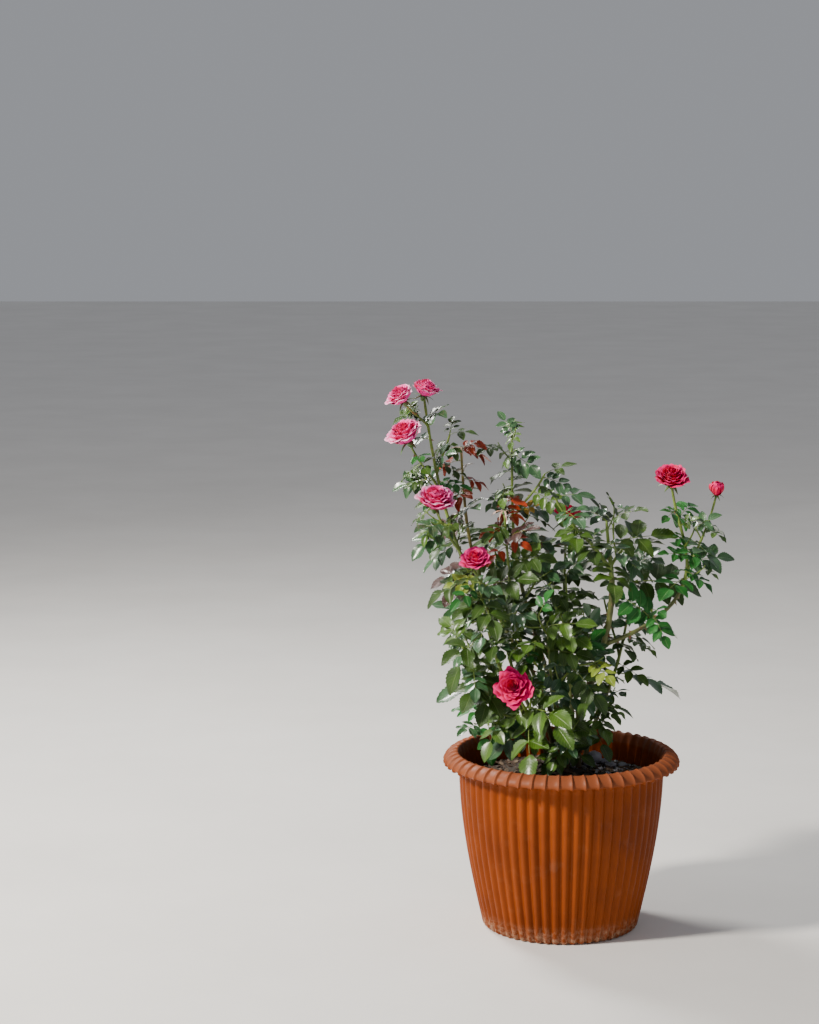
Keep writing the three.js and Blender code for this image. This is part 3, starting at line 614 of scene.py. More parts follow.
def setLimbs():
    for name, limb in limbs.items():
        limb["curve"] = [vec(*p) for p in limb["curve"]]
        limb["curve"][0][2] = crownHeight + clear
        occupy(*shootSamples(shootOf(limb["curve"], radii=limb["radii"])), name, trunk=True)
    for name, limb in sideBoughs.items():
        handles = [vec(*p) for p in limb["curve"]]
        start, _, away = startOn(limbs[limb["parent"]], limb["at"], handles[0], limb["radii"][0])
        limb["curve"] = [start - away * limb["seat"], *handles]
        limbs[name] = limb
        occupy(*shootSamples(shootOf(limb["curve"], radii=limb["radii"])), name, trunk=True)


def shootCurve(start, leaving, head):
    handle = distance(start, head) * handleShare
    arriving = unit(unit(head - start) + up)
    return [start, start + leaving * handle, head - arriving * handle, head]


def planMass(name, mass):
    mass["head"] = vec(*mass["head"])
    at = mass.get("at", 1)
    start, leaving, _ = startOn(limbs[mass["from"]], at, mass["head"], mass["stemRadii"][0])
    curve = shootCurve(start, leaving, mass["head"])
    first = growth["firstLeaf"] / distance(start, mass["head"])
    stem = shootOf(curve, radii=mass["stemRadii"], end=mass["end"], bare=max(mass["bare"], first))
    stem["sink"] = leaving
    plan = [stem]
    for shoot in mass["shoots"]:
        head = vec(*shoot["head"])
        root = pointOn(stem, shoot["at"])
        towards = unit(head - root)
        heading = bezierTangent(stem["curve"], shoot["at"])
        heading = unit(heading + (towards - heading) * forkTurn)
        radii = (between(mass["stemRadii"], shoot["at"]) * growth["shootShare"], growth["shootTip"])
        curve = shootCurve(root, heading, head)
        plan.append(shootOf(curve, radii=radii, end=shoot["end"], bare=growth["shootBare"]))
    mass["plan"] = plan
    for shoot in plan:
        shoot["leafScale"] = mass["leafScale"]
        shoot["spacing"] = mass["spacing"]
        occupy(*shootSamples(shoot), name)
        size = shoot["end"].get("size")
        if size:
            shoot["axis"] = unit(shoot["end"]["lean"])
            foot = shoot["curve"][3]
            points = np.array([foot + shoot["axis"] * size * h for h in bloomRoom["heights"]])
            occupy(points, size * np.array(bloomRoom["reach"]), name, leaf=True)


usualEase = {"own": room["ownEase"], "others": 1}
fineEase = {"own": fine["ease"], "others": fine["ease"]}

# Leaves, as places and directions only
sampleShares = np.array((0.1, 0.28, 0.46, 0.64, 0.82, 1))
sampleSides = np.array((-0.85, 0, 0.85))
stalkShares = (0.25, 0.5, 0.75)
widest = leafSize["widestAt"]
halfShares = np.where(sampleShares < widest, sampleShares / widest, (1 - sampleShares) / (1 - widest))


def facingAt(point):
    out = unit(vec(point[0] - soil["crownX"], point[1] - soil["crownY"], 0))
    return up + out * growth["outward"] + growth["light"]


def leafOf(root, along, size, droop, roll, pairCount, narrow):
    length = leafSize["rachis"] * size * (1 if pairCount == 2 else leafSize["shortStalk"])
    direction = unit(along - up * droop)
    end = root + direction * length
    facing = turned(sideOf(direction, facingAt(end)), direction, roll)
    leaflets = []
    places = [(p["at"], sign * p["angle"], p["size"]) for p in pairs[2 - pairCount:] for sign in (1, -1)]
    for t, angle, share in [*places, (1, 0, leafSize["endShare"])]:
        fall = leafSize["hang"] + droop * t * leafSize["droopShare"]
        heading = unit(turned(direction, facing, angle) - up * fall)
        leaflets.append({
            "at": t,
            "base": root + (end - root) * t,
            "along": heading,
            "normal": sideOf(heading, facing),
            "length": leafSize["leaflet"] * size * share,
            "width": leafSize["leaflet"] * size * share * leafSize["widthShare"] * narrow,
        })
    return {
        "root": root,
        "end": end,
        "leaflets": leaflets,
        "size": size,
        "facing": facing,
        "direction": direction,
        "droop": droop,
        "pairCount": pairCount,
        "narrow": narrow,
    }


def leafSamples(leaf):
    found = []
    for leaflet in leaf["leaflets"]:
        side = cross(leaflet["along"], leaflet["normal"])
        spine = leaflet["base"] + np.outer(sampleShares, leaflet["along"] * leaflet["length"])
        across = np.outer(halfShares * leaflet["width"] / 2, side)
        found.append((spine[:, None] + across[:, None] * sampleSides[None, :, None]).reshape(-1, 3))
    stalk = leaf["root"] + np.outer(stalkShares, leaf["end"] - leaf["root"])
    points = np.concatenate([*found, stalk])
    reach = np.full(len(points), float(room["leaflet"]))
    reach[-len(stalkShares):] = room["stalk"]
    return points, reach


def tryLeaf(owner, node, tangent, azimuth, lift, size, rest, rootReach, easier=None):
    turns = easier["turns"] if easier else growth["retryTurns"]
    sizes = easier["sizes"] if easier else growth["retrySizes"]
    ease = fineEase if easier else usualEase
    side = sideOf(tangent, zeroSide)
    for smaller in sizes:
        for turn in turns:
            sideways = turned(side, tangent, azimuth + turn)
            along = tangent * math.cos(math.radians(lift)) + sideways * math.sin(math.radians(lift))
            leaf = leafOf(node, along, size * smaller, **rest)
            points, reach = leafSamples(leaf)
            if fits(points, reach, owner, node, rootReach, ease):
                occupy(points, reach, owner, leaf=True)
                return leaf
    return None


def dressShoot(owner, shoot, draw, level, found):
    length = distance(shoot["curve"][0], shoot["curve"][3])
    bare = shoot["bare"]
    count = max(1, math.floor(length * (1 - bare) / shoot["spacing"] + 0.5))
    blooms = bool(shoot["end"].get("size"))
    azimuth = draw() * 360
    for i in range(count + 1):
        t = bare + (1 - bare) * (i + growth["offset"]) / (count + growth["offset"])
        last = i == count
        upper = t > growth["upperFrom"]
        azimuth += goldenTurn + between(growth["turnSpread"], draw())
        lift = between(growth["lift"], draw())
        size = between(growth["size"], draw()) * (growth["upperSize"] if upper else 1) * shoot["leafScale"]
        rest = {"droop": between(growth["droop"], draw()), "roll": between(growth["roll"], draw())}
        rest["pairCount"] = 1 if upper and blooms else 2
        rest["narrow"] = 1
        twigShare = draw()
        twigSeed = math.floor(draw() * 1e6)
        if blooms and length * (1 - t) < growth["peduncle"]:
            break
        node = pointOn(shoot, t)
        tangent = bezierTangent(shoot["curve"], min(1, t))
        if last:
            lift = growth["tipLift"]
            size *= growth["tipSize"]
            rest["pairCount"] = 1
        leaf = tryLeaf(owner, node, tangent, azimuth, lift, size, rest, room["leafRoot"])
        if leaf:
            leaf["share"] = t
            leaf["onYoung"] = shoot["end"]["kind"] == "young"
            found["leaves"].append(leaf)
        if shoot["end"]["kind"] == "young" and last:
            addYoungLeaves(owner, shoot, draw, found)
        if not last and level < 1 and twigShare < growth["twigChance"]:
            growTwig(owner, shoot, node, tangent, azimuth, twigSeed, found)


def growTwig(owner, parent, node, tangent, azimuth, seed, found):
    draw = seeded(seed)
    side = turned(sideOf(tangent, zeroSide), tangent, azimuth + 180)
    heading = unit(tangent + side + up * growth["twigRise"])
    head = node + heading * between(growth["twigLength"], draw())
    curve = shootCurve(node, heading, head)
    twig = shootOf(curve, radii=growth["twigRadii"], end=leafy, bare=growth["twigBare"])
    twig["leafScale"] = parent["leafScale"]
    twig["spacing"] = parent["spacing"]
    points, reach = shootSamples(twig)
    if not fits(points, reach, owner, node, room["twigRoot"], usualEase):
        return
    occupy(points, reach, owner)
    found["twigs"].append(twig)
    dressShoot(owner, twig, draw, 1, found)


def addYoungLeaves(owner, shoot, draw, found):
    for i in range(young["count"]):
        t = 1 - young["back"] * i
        azimuth = i * goldenTurn + between(young["turnSpread"], draw())
        size = young["size"] * between(young["sizeSpread"], draw())
        rest = {"droop": young["droop"], "roll": 0, "pairCount": 1, "narrow": young["narrow"]}
        tangent = bezierTangent(shoot["curve"], t)
        node = pointOn(shoot, t)
        leaf = tryLeaf(owner, node, tangent, azimuth, young["lift"], size, rest, room["youngRoot"])
        if leaf:
            leaf["share"] = t
            leaf["young"] = True
            found["leaves"].append(leaf)


# The finer leaves and twigs stand between the others, within the same reach
def addFineLeaves(owner, shoot, draw, found, spacing, fill):
    length = distance(shoot["curve"][0], shoot["curve"][3])
    blooms = bool(shoot["end"].get("size"))
    count = max(2, int(length / spacing))
    azimuth = draw() * 360
    for i in range(count):
        t = (i + 0.5) / count
        azimuth += goldenTurn
        size = between(fine["size"], draw()) * shoot["leafScale"]
        rest = {"droop": between(growth["droop"], draw()), "roll": between(growth["roll"], draw())}
        rest["pairCount"] = 2 if draw() < fine["pairsShare"] else 1
        rest["narrow"] = fine["narrow"]
        lift = between(growth["lift"], draw())
        wanted = draw() < fill
        nearBloom = blooms and length * (1 - t) < growth["peduncle"]
        if not wanted or nearBloom or t < shoot["bare"]:
            continue
        tangent = bezierTangent(shoot["curve"], t)
        leaf = tryLeaf(owner, pointOn(shoot, t), tangent, azimuth, lift, size, rest, room["leafRoot"], fine)
        if leaf:
            leaf["share"] = t
            found["leaves"].append(leaf)


def addFineTwigs(owner, shoot, draw, found, fill):
    length = distance(shoot["curve"][0], shoot["curve"][3])
    blooms = bool(shoot["end"].get("size"))
    count = int(length / fine["twigGap"])
    azimuth = draw() * 360
    for i in range(count):
        t = (i + 0.5) / count
        azimuth += goldenTurn
        reach = between(fine["twigLength"], draw())
        wanted = draw() < fill
        nearBloom = blooms and length * (1 - t) < fine["twigEnd"] * growth["peduncle"]
        if not wanted or nearBloom or t < shoot["bare"]:
            continue
        node = pointOn(shoot, t)
        tangent = bezierTangent(shoot["curve"], t)
        for turn in fine["turns"]:
            side = turned(sideOf(tangent, zeroSide), tangent, azimuth + turn)
            heading = unit(tangent * fine["twigLean"] + side + up * fine["twigRise"])
            curve = shootCurve(node, heading, node + heading * reach)
            twig = shootOf(curve, radii=fine["twigRadii"], end=leafy, bare=fine["twigBare"])
            points, around = shootSamples(twig)
            if fits(points, around, owner, node, room["twigRoot"], fineEase):
                occupy(points, around, owner)
                twig["leafScale"] = shoot["leafScale"] * fine["twigLeafScale"]
                twig["share"] = t
                found["fineTwigs"].append(twig)
                addFineLeaves(owner, twig, draw, found, fine["twigSpacing"], 1)
                break


setLimbs()
for name, mass in masses.items():
    planMass(name, mass)
grown = {}
for name, mass in masses.items():
    grown[name] = {"leaves": [], "twigs": [], "fineTwigs": []}
    for i, shoot in enumerate(mass["plan"]):
        draw = seeded(mass["seed"] * growth["seedStep"] + i)
        dressShoot(name, shoot, draw, 0, grown[name])
print("leaves of the source:", {name: len(g["leaves"]) for name, g in grown.items()})
for name, mass in masses.items():
    for i, shoot in enumerate([*mass["plan"], *grown[name]["twigs"]]):
        draw = seeded(mass["seed"] * fine["seedStep"] + i)
        addFineTwigs(name, shoot, draw, grown[name], mass["fill"])
        addFineLeaves(name, shoot, draw, grown[name], fine["spacing"], mass["fill"])
print("leaves in all:", sum(len(g["leaves"]) for g in grown.values()))


# Meshes are gathered as heaps of points and faces, and each heap becomes one piece
heaps = {}
pieceLimit = 190000  # triangles


def addTo(kind, points, quads, triangles=None, uvs=None):
    heap = heaps.setdefault(kind, {"points": [], "quads": [], "triangles": [], "uvs": [], "count": 0})
    n = heap["count"]
    heap["points"].append(np.asarray(points, float))
    heap["quads"].append(np.asarray(quads, np.int64) + n)
    if triangles is not None and len(triangles):
        heap["triangles"].append(np.asarray(triangles, np.int64) + n)
    heap["uvs"].append(np.zeros((len(points), 2)) if uvs is None else np.asarray(uvs, float))
    heap["count"] = n + len(points)


def pieceOf(name, kind, material, nodes=(), smooth=True):
    heap = heaps.pop(kind)
    points = np.concatenate(heap["points"]) * mm
    uvs = np.concatenate(heap["uvs"])
    quads = np.concatenate(heap["quads"])
    triangles = np.concatenate(heap["triangles"]) if heap["triangles"] else np.zeros((0, 3), np.int64)
    loops = np.concatenate([quads.ravel(), triangles.ravel()]).astype(np.int32)
    totals = np.concatenate([np.full(len(quads), 4), np.full(len(triangles), 3)])
    starts = np.concatenate([[0], np.cumsum(totals)[:-1]]).astype(np.int32)
    mesh = bpy.data.meshes.new(name)
    mesh.vertices.add(len(points))
    mesh.vertices.foreach_set("co", points.astype(np.float32).ravel())
    mesh.loops.add(len(loops))
    mesh.loops.foreach_set("vertex_index", loops)
    mesh.polygons.add(len(totals))
    mesh.polygons.foreach_set("loop_start", starts)
    mesh.update(calc_edges=True)
    mesh.polygons.foreach_set("use_smooth", np.full(len(totals), smooth))
    layer = mesh.uv_layers.new(name="place")
    layer.data.foreach_set("uv", uvs[loops].astype(np.float32).ravel())
    mesh.materials.append(material)
    piece = bpy.data.objects.new(name, mesh)
    bpy.context.scene.collection.objects.link(piece)
    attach(piece, "root")
    if nodes:
        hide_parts(*nodes)
    count = 2 * len(quads) + len(triangles)
    print("piece", name, count, "triangles")
    if count > pieceLimit:
        print("too many triangles in", name)


def gridQuads(rows, columns, closed):
    quads = []
    for r in range(rows - 1):
        for c in range(columns if closed else columns - 1):
            n = (c + 1) % columns
            quads.append((r * columns + c, r * columns + n, (r + 1) * columns + n, (r + 1) * columns + c))
    return np.array(quads)


tubeSide = vec(0.31, -0.82, 0.48)  # the side that a tube's rings start from


def addTube(kind, centres, radii, sides, relief=None, closeEnds=True):
    centres = np.asarray(centres, float)
    count = len(centres)
    tangents = np.gradient(centres, axis=0)
    side = sideOf(unit(tangents[0]), tubeSide)
    angles = np.arange(sides) / sides * 2 * math.pi
    rings = []
    for i in range(count):
        along = unit(tangents[i])
        side = sideOf(along, side)
        other = cross(along, side)
        r = radii[i] * (1 if relief is None else relief[i])
        rings.append(centres[i] + np.outer(np.cos(angles) * r, side) + np.outer(np.sin(angles) * r, other))
    points = np.concatenate(rings)
    around = np.tile(np.arange(sides) / sides, count)
    lengthwise = np.repeat(np.arange(count) / count, sides)
    uvs = np.stack([around, lengthwise], axis=1)
    quads = gridQuads(count, sides, True)
    triangles = []
    if closeEnds:
        points = np.concatenate([points, centres[:1], centres[-1:]])
        uvs = np.concatenate([uvs, [(0, 0), (0, 1)]])
        last = (count - 1) * sides
        for k in range(sides):
            n = (k + 1) % sides
            triangles.append((count * sides, n, k))
            triangles.append((count * sides + 1, last + k, last + n))
    addTo(kind, points, quads, triangles, uvs)


# Materials
def newMaterial(name, roughness, sheen=0):
    material = bpy.data.materials.new(name)
    material.use_nodes = True
    shader = material.node_tree.nodes["Principled BSDF"]
    shader.inputs["Roughness"].default_value = roughness
    if sheen:
        shader.inputs["Sheen Weight"].default_value = sheen
    return material, material.node_tree, shader


def noiseNode(tree, source, scale, detail, roughness=0.6):
    noise = tree.nodes.new("ShaderNodeTexNoise")
    noise.inputs["Scale"].default_value = scale
    noise.inputs["Detail"].default_value = detail
    noise.inputs["Roughness"].default_value = roughness
    tree.links.new(source, noise.inputs["Vector"])
    return noise.outputs["Fac"]


def rampNode(tree, source, edges, dark, light):
    ramp = tree.nodes.new("ShaderNodeValToRGB")
    for element, place, color in zip(ramp.color_ramp.elements, edges, (dark, light)):
        element.position = place
        element.color = (*color, 1)
    tree.links.new(source, ramp.inputs["Fac"])
    return ramp.outputs["Color"]


def mathNode(tree, kind, *values):
    node = tree.nodes.new("ShaderNodeMath")
    node.operation = kind
    for socket, value in zip(node.inputs, values):
        if isinstance(value, (int, float)):
            socket.default_value = value
        else:
            tree.links.new(value, socket)
    return node.outputs[0]


def mixNode(tree, amount, under, color):
    mix = tree.nodes.new("ShaderNodeMix")
    mix.data_type = "RGBA"
    mix.inputs[7].default_value = (*color, 1)
    tree.links.new(amount, mix.inputs[0])
    tree.links.new(under, mix.inputs[6])
    return mix.outputs[2]


def rangeNode(tree, source, low, high):
    node = tree.nodes.new("ShaderNodeMapRange")
    node.inputs["From Min"].default_value = low
    node.inputs["From Max"].default_value = high
    tree.links.new(source, node.inputs["Value"])
    return node.outputs[0]


def bumpNode(tree, height, shader, strength, depth):
    bump = tree.nodes.new("ShaderNodeBump")
    bump.inputs["Strength"].default_value = strength
    bump.inputs["Distance"].default_value = depth
    tree.links.new(height, bump.inputs["Height"])
    tree.links.new(bump.outputs["Normal"], shader.inputs["Normal"])


leafTints = {  # darker and lighter colour of each kind of leaf, its veins, how rough and how glossy it is
    "dark": {
        "dark": (0.018, 0.046, 0.004), "light": (0.043, 0.1, 0.009), "vein": (0.13, 0.18, 0.06),
        "rough": 0.42, "gloss": 0.08,
    },
    "mid": {
        "dark": (0.034, 0.086, 0.005), "light": (0.077, 0.165, 0.012), "vein": (0.2, 0.28, 0.09),
        "rough": 0.42, "gloss": 0.3,
    },
    "blue": {
        "dark": (0.018, 0.07, 0.019), "light": (0.046, 0.136, 0.043), "vein": (0.16, 0.24, 0.12),
        "rough": 0.36, "gloss": 0.9,
    },
    "fresh": {
        "dark": (0.007, 0.09, 0.009), "light": (0.02, 0.17, 0.023), "vein": (0.14, 0.29, 0.07),
        "rough": 0.42, "gloss": 0.12,
    },
    "bright": {
        "dark": (0.16, 0.23, 0.018), "light": (0.28, 0.37, 0.04), "vein": (0.38, 0.46, 0.1),
        "rough": 0.42, "gloss": 0.12,
    },
    "bronze": {
        "dark": (0.04, 0.018, 0.016), "light": (0.085, 0.042, 0.034), "vein": (0.14, 0.06, 0.05),
        "rough": 0.36, "gloss": 0.3,
    },
    "young": {
        "dark": (0.17, 0.01, 0.006), "light": (0.46, 0.05, 0.008), "vein": (0.5, 0.12, 0.03),
        "rough": 0.38, "gloss": 0.12,
    },
    "yellow": {
        "dark": (0.4, 0.24, 0.03), "light": (0.55, 0.36, 0.06), "vein": (0.45, 0.4, 0.1),
        "rough": 0.45, "gloss": 0.12,
    },
}
leafSurface = {
    "ribs": 9.0,  # pairs of side veins
    "ribSlant": 5.0,
    "ribEdge": 9.0,
    "midribEdge": 26.0,
    "midribColor": 0.7,  # how far veins take their own colour
    "ribColor": 0.22,
    "patches": 34,  # how fine the darker and lighter patches are, and the pores
    "pores": 520,
    "patchEdges": (0.34, 0.66),
    "relief": 0.6,
    "reliefDepth": 0.0008,
    "coatRough": 0.22,
    "specular": 0.35,
}


def leafMaterial(name, tint):
    material, tree, shader = newMaterial(name, tint["rough"])
    place = tree.nodes.new("ShaderNodeTexCoord")
    split = tree.nodes.new("ShaderNodeSeparateXYZ")
    tree.links.new(place.outputs["UV"], split.inputs[0])
    across = mathNode(tree, "SUBTRACT", split.outputs[0], 0.5)
    across = mathNode(tree, "ABSOLUTE", across)
    ribs = mathNode(tree, "MULTIPLY", split.outputs[1], leafSurface["ribs"])
    slant = mathNode(tree, "MULTIPLY", across, leafSurface["ribSlant"])
    ribs = mathNode(tree, "SUBTRACT", ribs, slant)
    ribs = mathNode(tree, "PINGPONG", ribs, 0.5)
    ribs = mathNode(tree, "MULTIPLY", ribs, leafSurface["ribEdge"])
    ribs = mathNode(tree, "MINIMUM", ribs, 1.0)  # 0 on a side vein
    midrib = mathNode(tree, "MULTIPLY", across, leafSurface["midribEdge"])
    midrib = mathNode(tree, "MINIMUM", midrib, 1.0)
    veins = mathNode(tree, "MULTIPLY", ribs, midrib)
    patches = noiseNode(tree, place.outputs["Object"], leafSurface["patches"], 3)
    green = rampNode(tree, patches, leafSurface["patchEdges"], tint["dark"], tint["light"])
    veinAmount = mathNode(tree, "SUBTRACT", 1.0, midrib)
    veinAmount = mathNode(tree, "MULTIPLY", veinAmount, leafSurface["midribColor"])
    sideAmount = mathNode(tree, "SUBTRACT", 1.0, ribs)
    sideAmount = mathNode(tree, "MULTIPLY", sideAmount, leafSurface["ribColor"])
    veinAmount = mathNode(tree, "MAXIMUM", veinAmount, sideAmount)
    color = mixNode(tree, veinAmount, green, tint["vein"])
    tree.links.new(color, shader.inputs["Base Color"])
    pores = noiseNode(tree, place.outputs["Object"], leafSurface["pores"], 2)
    relief = mathNode(tree, "MULTIPLY_ADD", pores, 0.5, veins)
    bumpNode(tree, relief, shader, leafSurface["relief"], leafSurface["reliefDepth"])
    shader.inputs["Coat Weight"].default_value = tint["gloss"]
    shader.inputs["Coat Roughness"].default_value = leafSurface["coatRough"]
    shader.inputs["Specular IOR Level"].default_value = leafSurface["specular"]
    return material


stemSurface = {
    "patches": 28,
    "patchEdges": (0.38, 0.62),
    "specks": 420,
    "speckFrom": 0.66,
    "speckShare": 0.5,
    "relief": 0.35,
    "reliefDepth": 0.0006,
}


def stemMaterial(name, settings):
    material, tree, shader = newMaterial(name, settings["rough"])
    place = tree.nodes.new("ShaderNodeTexCoord")
    patches = noiseNode(tree, place.outputs["Object"], stemSurface["patches"], 3)
    skin = rampNode(tree, patches, stemSurface["patchEdges"], settings["dark"], settings["light"])
    specks = noiseNode(tree, place.outputs["Object"], stemSurface["specks"], 2, 0.7)
    speckAmount = mathNode(tree, "GREATER_THAN", specks, stemSurface["speckFrom"])
    speckAmount = mathNode(tree, "MULTIPLY", speckAmount, stemSurface["speckShare"])
    color = mixNode(tree, speckAmount, skin, settings["speck"])
    split = tree.nodes.new("ShaderNodeSeparateXYZ")
    tree.links.new(place.outputs["Object"], split.inputs[0])
    woodAmount = rangeNode(tree, split.outputs[2], settings["woodTop"], settings["woodFoot"])
    color = mixNode(tree, woodAmount, color, settings["wood"])
    tree.links.new(color, shader.inputs["Base Color"])
    bumpNode(tree, specks, shader, stemSurface["relief"], stemSurface["reliefDepth"])
    return material


caneLook = {
    "rough": 0.5,
    "dark": (0.075, 0.085, 0.02),
    "light": (0.17, 0.2, 0.05),
    "speck": (0.12, 0.075, 0.035),
    "wood": (0.07, 0.05, 0.03),
    "woodTop": 0.33,  # height in metres where old wood starts to show
    "woodFoot": 0.2,
}
shootLook = {
    "rough": 0.45,
    "dark": (0.1, 0.16, 0.02),
    "light": (0.2, 0.3, 0.045),
    "speck": (0.18, 0.1, 0.04),
    "wood": (0.1, 0.12, 0.03),
    "woodTop": 0.28,
    "woodFoot": 0.1,
}
redShootLook = {
    **shootLook,
    "dark": (0.15, 0.11, 0.025),
    "light": (0.26, 0.24, 0.045),
    "speck": (0.2, 0.05, 0.03),
}


# Canes and boughs
cane = {
    "seed": 900,
    "ring": 3.5,  # from one ring of points to the next
    "bentShare": 1.06,  # its length beside the straight line between its ends
    "sides": 14,
    "flare": 1.35,
    "flareFade": 18,
    "nodeGap": 38,  # from one joint of the cane to the next
    "nodeSwell": 0.16,
    "nodeSpread": 2.6,
    "ridge": 0.035,
    "broadRidges": 3,  # how many run round it
    "fineRidges": 7,
    "fineShare": 0.6,
    "fineTwist": 9,
    "twist": (2, 4),
    "knobbly": 0.5,
    "sink": 4,  # how far its foot goes into the soil
    "boughSink": 3,  # and a bough's into its cane
    "past": 1.2,  # how far its top goes into the shoot that carries on
}


def caneMesh(limb, seed):
    draw = seeded(seed)
    length = distance(limb["curve"][0], limb["curve"][3]) * cane["bentShare"]
    count = int(length / cane["ring"])
    rooted = "parent" not in limb
    centres, radii, relief = [], [], []
    angles = np.arange(cane["sides"]) / cane["sides"] * 2 * math.pi
    phase = draw() * 6
    twist = between(cane["twist"], draw())
    offset = draw() * cane["nodeGap"]
    for i in range(count + 1):
        t = i / count
        centres.append(bezier(limb["curve"], t))
        swell = math.exp(-t * cane["flareFade"]) * (cane["flare"] - 1) if rooted else 0
        fromNode = abs((t * length + offset) % cane["nodeGap"] - cane["nodeGap"] / 2)
        swell += cane["nodeSwell"] * math.exp(-(fromNode / cane["nodeSpread"]) ** 2)
        radii.append(between(limb["radii"], t) * (1 + swell))
        ridges = np.sin(cane["broadRidges"] * angles + phase + twist * t)
        turns = cane["fineRidges"] * angles - cane["fineTwist"] * t + phase
        ridges = ridges + cane["fineShare"] * np.sin(turns)
        relief.append(1 + cane["ridge"] * (ridges + (draw() - 0.5) * cane["knobbly"]))
    tangent = bezierTangent(limb["curve"], 0)
    centres[0] = centres[0] - tangent * cane["sink" if rooted else "boughSink"]
    centres[-1] = centres[-1] + bezierTangent(limb["curve"], 1) * cane["past"]
    addTube("canes", centres, radii, cane["sides"], relief)


# A thorn: a flattened cone that hooks back down the stem
thorn = {
    "sides": 5,
    "rings": 4,
    "hook": 0.55,
    "thick": 0.34,
    "tall": 1.5,  # its section along the stem and across it
    "wide": 0.7,
    "taper": 1.3,
    "tip": 0.05,
    "sink": 0.8,
    "onCanes": {"seed": 950, "gap": 13, "length": (4.5, 7), "span": (0.06, 0.98)},
    "onShoots": {"seed": 1200, "gap": 17, "length": (2.4, 4.2), "span": (0.05, 0.8)},
}


def addThorn(foot, along, away, length):
    rings = []
    angles = np.arange(thorn["sides"]) / thorn["sides"] * 2 * math.pi
    other = cross(along, away)
    for i in range(thorn["rings"]):
        s = i / (thorn["rings"] - 1)
        centre = foot + away * (length * s - thorn["sink"]) - along * (length * thorn["hook"] * s * s)
        r = length * thorn["thick"] * (1 - s) ** thorn["taper"] + thorn["tip"]
        tall = np.outer(np.cos(angles) * r * thorn["tall"], along)
        wide = np.outer(np.sin(angles) * r * thorn["wide"], other)
        rings.append(centre + tall + wide)
    addTo("thorns", np.concatenate(rings), gridQuads(thorn["rings"], thorn["sides"], True))


def thornsOn(stem, settings, turn):
    curve, radii = stem["curve"], stem["radii"]
    draw = seeded(settings["seed"] + turn)
    count = int(distance(curve[0], curve[3]) / settings["gap"])
    start, end = settings["span"]
    for i in range(count):
        t = start + (end - start) * (i + draw()) / count
        along = bezierTangent(curve, t)
        away = turned(sideOf(along, zeroSide), along, draw() * 360)
        size = between(settings["length"], draw())
        addThorn(bezier(curve, t) + away * between(radii, t), along, away, size)


for i, limb in enumerate(limbs.values()):
    caneMesh(limb, cane["seed"] + i)
    thornsOn(limb, thorn["onCanes"], i)
pieceOf("canes", "canes", stemMaterial("caneBark", caneLook), tuple(limbs))
print("canes done")

# Shoots and twigs
shootTube = {
    "ring": 7,
    "sides": 9,
    "fineSides": 6,
    "nodeSwell": 0.14,
    "nodeEvery": 4,
    "sink": 3.2,
    "smooth": 0.65,  # how far it leaves the source's straight runs for the curve
}


def shootMesh(kind, shoot, root):
    length = distance(shoot["curve"][0], shoot["curve"][3])
    count = max(4, int(length / shootTube["ring"]))
    centres = []
    radii = []
    for i in range(count + 1):
        t = i / count
        straight = pointOn(shoot, t)
        smooth = bezier(shoot["curve"], t)
        centres.append(straight * (1 - shootTube["smooth"]) + smooth * shootTube["smooth"])
        swollen = i % shootTube["nodeEvery"] == 2
        radii.append(between(shoot["radii"], t) * (1 + shootTube["nodeSwell"] * swollen))
    if root is not None:
        centres[0] = centres[0] - root * shootTube["sink"]
    addTube(kind, centres, radii, shootTube["fineSides" if "share" in shoot else "sides"])


for m, (name, mass) in enumerate(masses.items()):
    kind = "redShoots" if mass["tints"] == "bronze" else "shoots"
    for i, shoot in enumerate([*mass["plan"], *grown[name]["twigs"], *grown[name]["fineTwigs"]]):
        shootMesh(kind, shoot, shoot.get("sink"))
        if i < len(mass["plan"]):
            thornsOn(shoot, thorn["onShoots"], 20 * m + i)

# Leaflets: a blade with teeth along both edges, folded along its midrib and arched
blade = {
    "teeth": 8,
    "start": 0.05,  # share of its length that is its own short stalk
    "end": 0.955,  # where the last teeth stand
    "stem": 0.03,
    "half": 0.52,  # where the middle line of points runs, as a share of half its width
    "notch": 0.93,
    "tooth": 1.06,
    "bulge": 0.86,  # under 1 sets its widest place below the middle
    "fullness": 0.72,  # the lower, the fuller its outline
    "tipNarrowing": 0.2,
    "reach": 0.8,  # how far forward a tooth points, in steps between teeth
}


# The outline of a leaflet, widest just below its middle and narrower towards the tip
def bladeWidth(a):
    if a <= 0:
        return 0
    rounded = max(0, math.sin(math.pi * a ** blade["bulge"])) ** blade["fullness"]
    return rounded * (1 - blade["tipNarrowing"] * a ** 5)


def halfWidthAt(a):
    return max(bladeWidth((a - blade["start"]) / (1 - blade["start"])), blade["stem"])


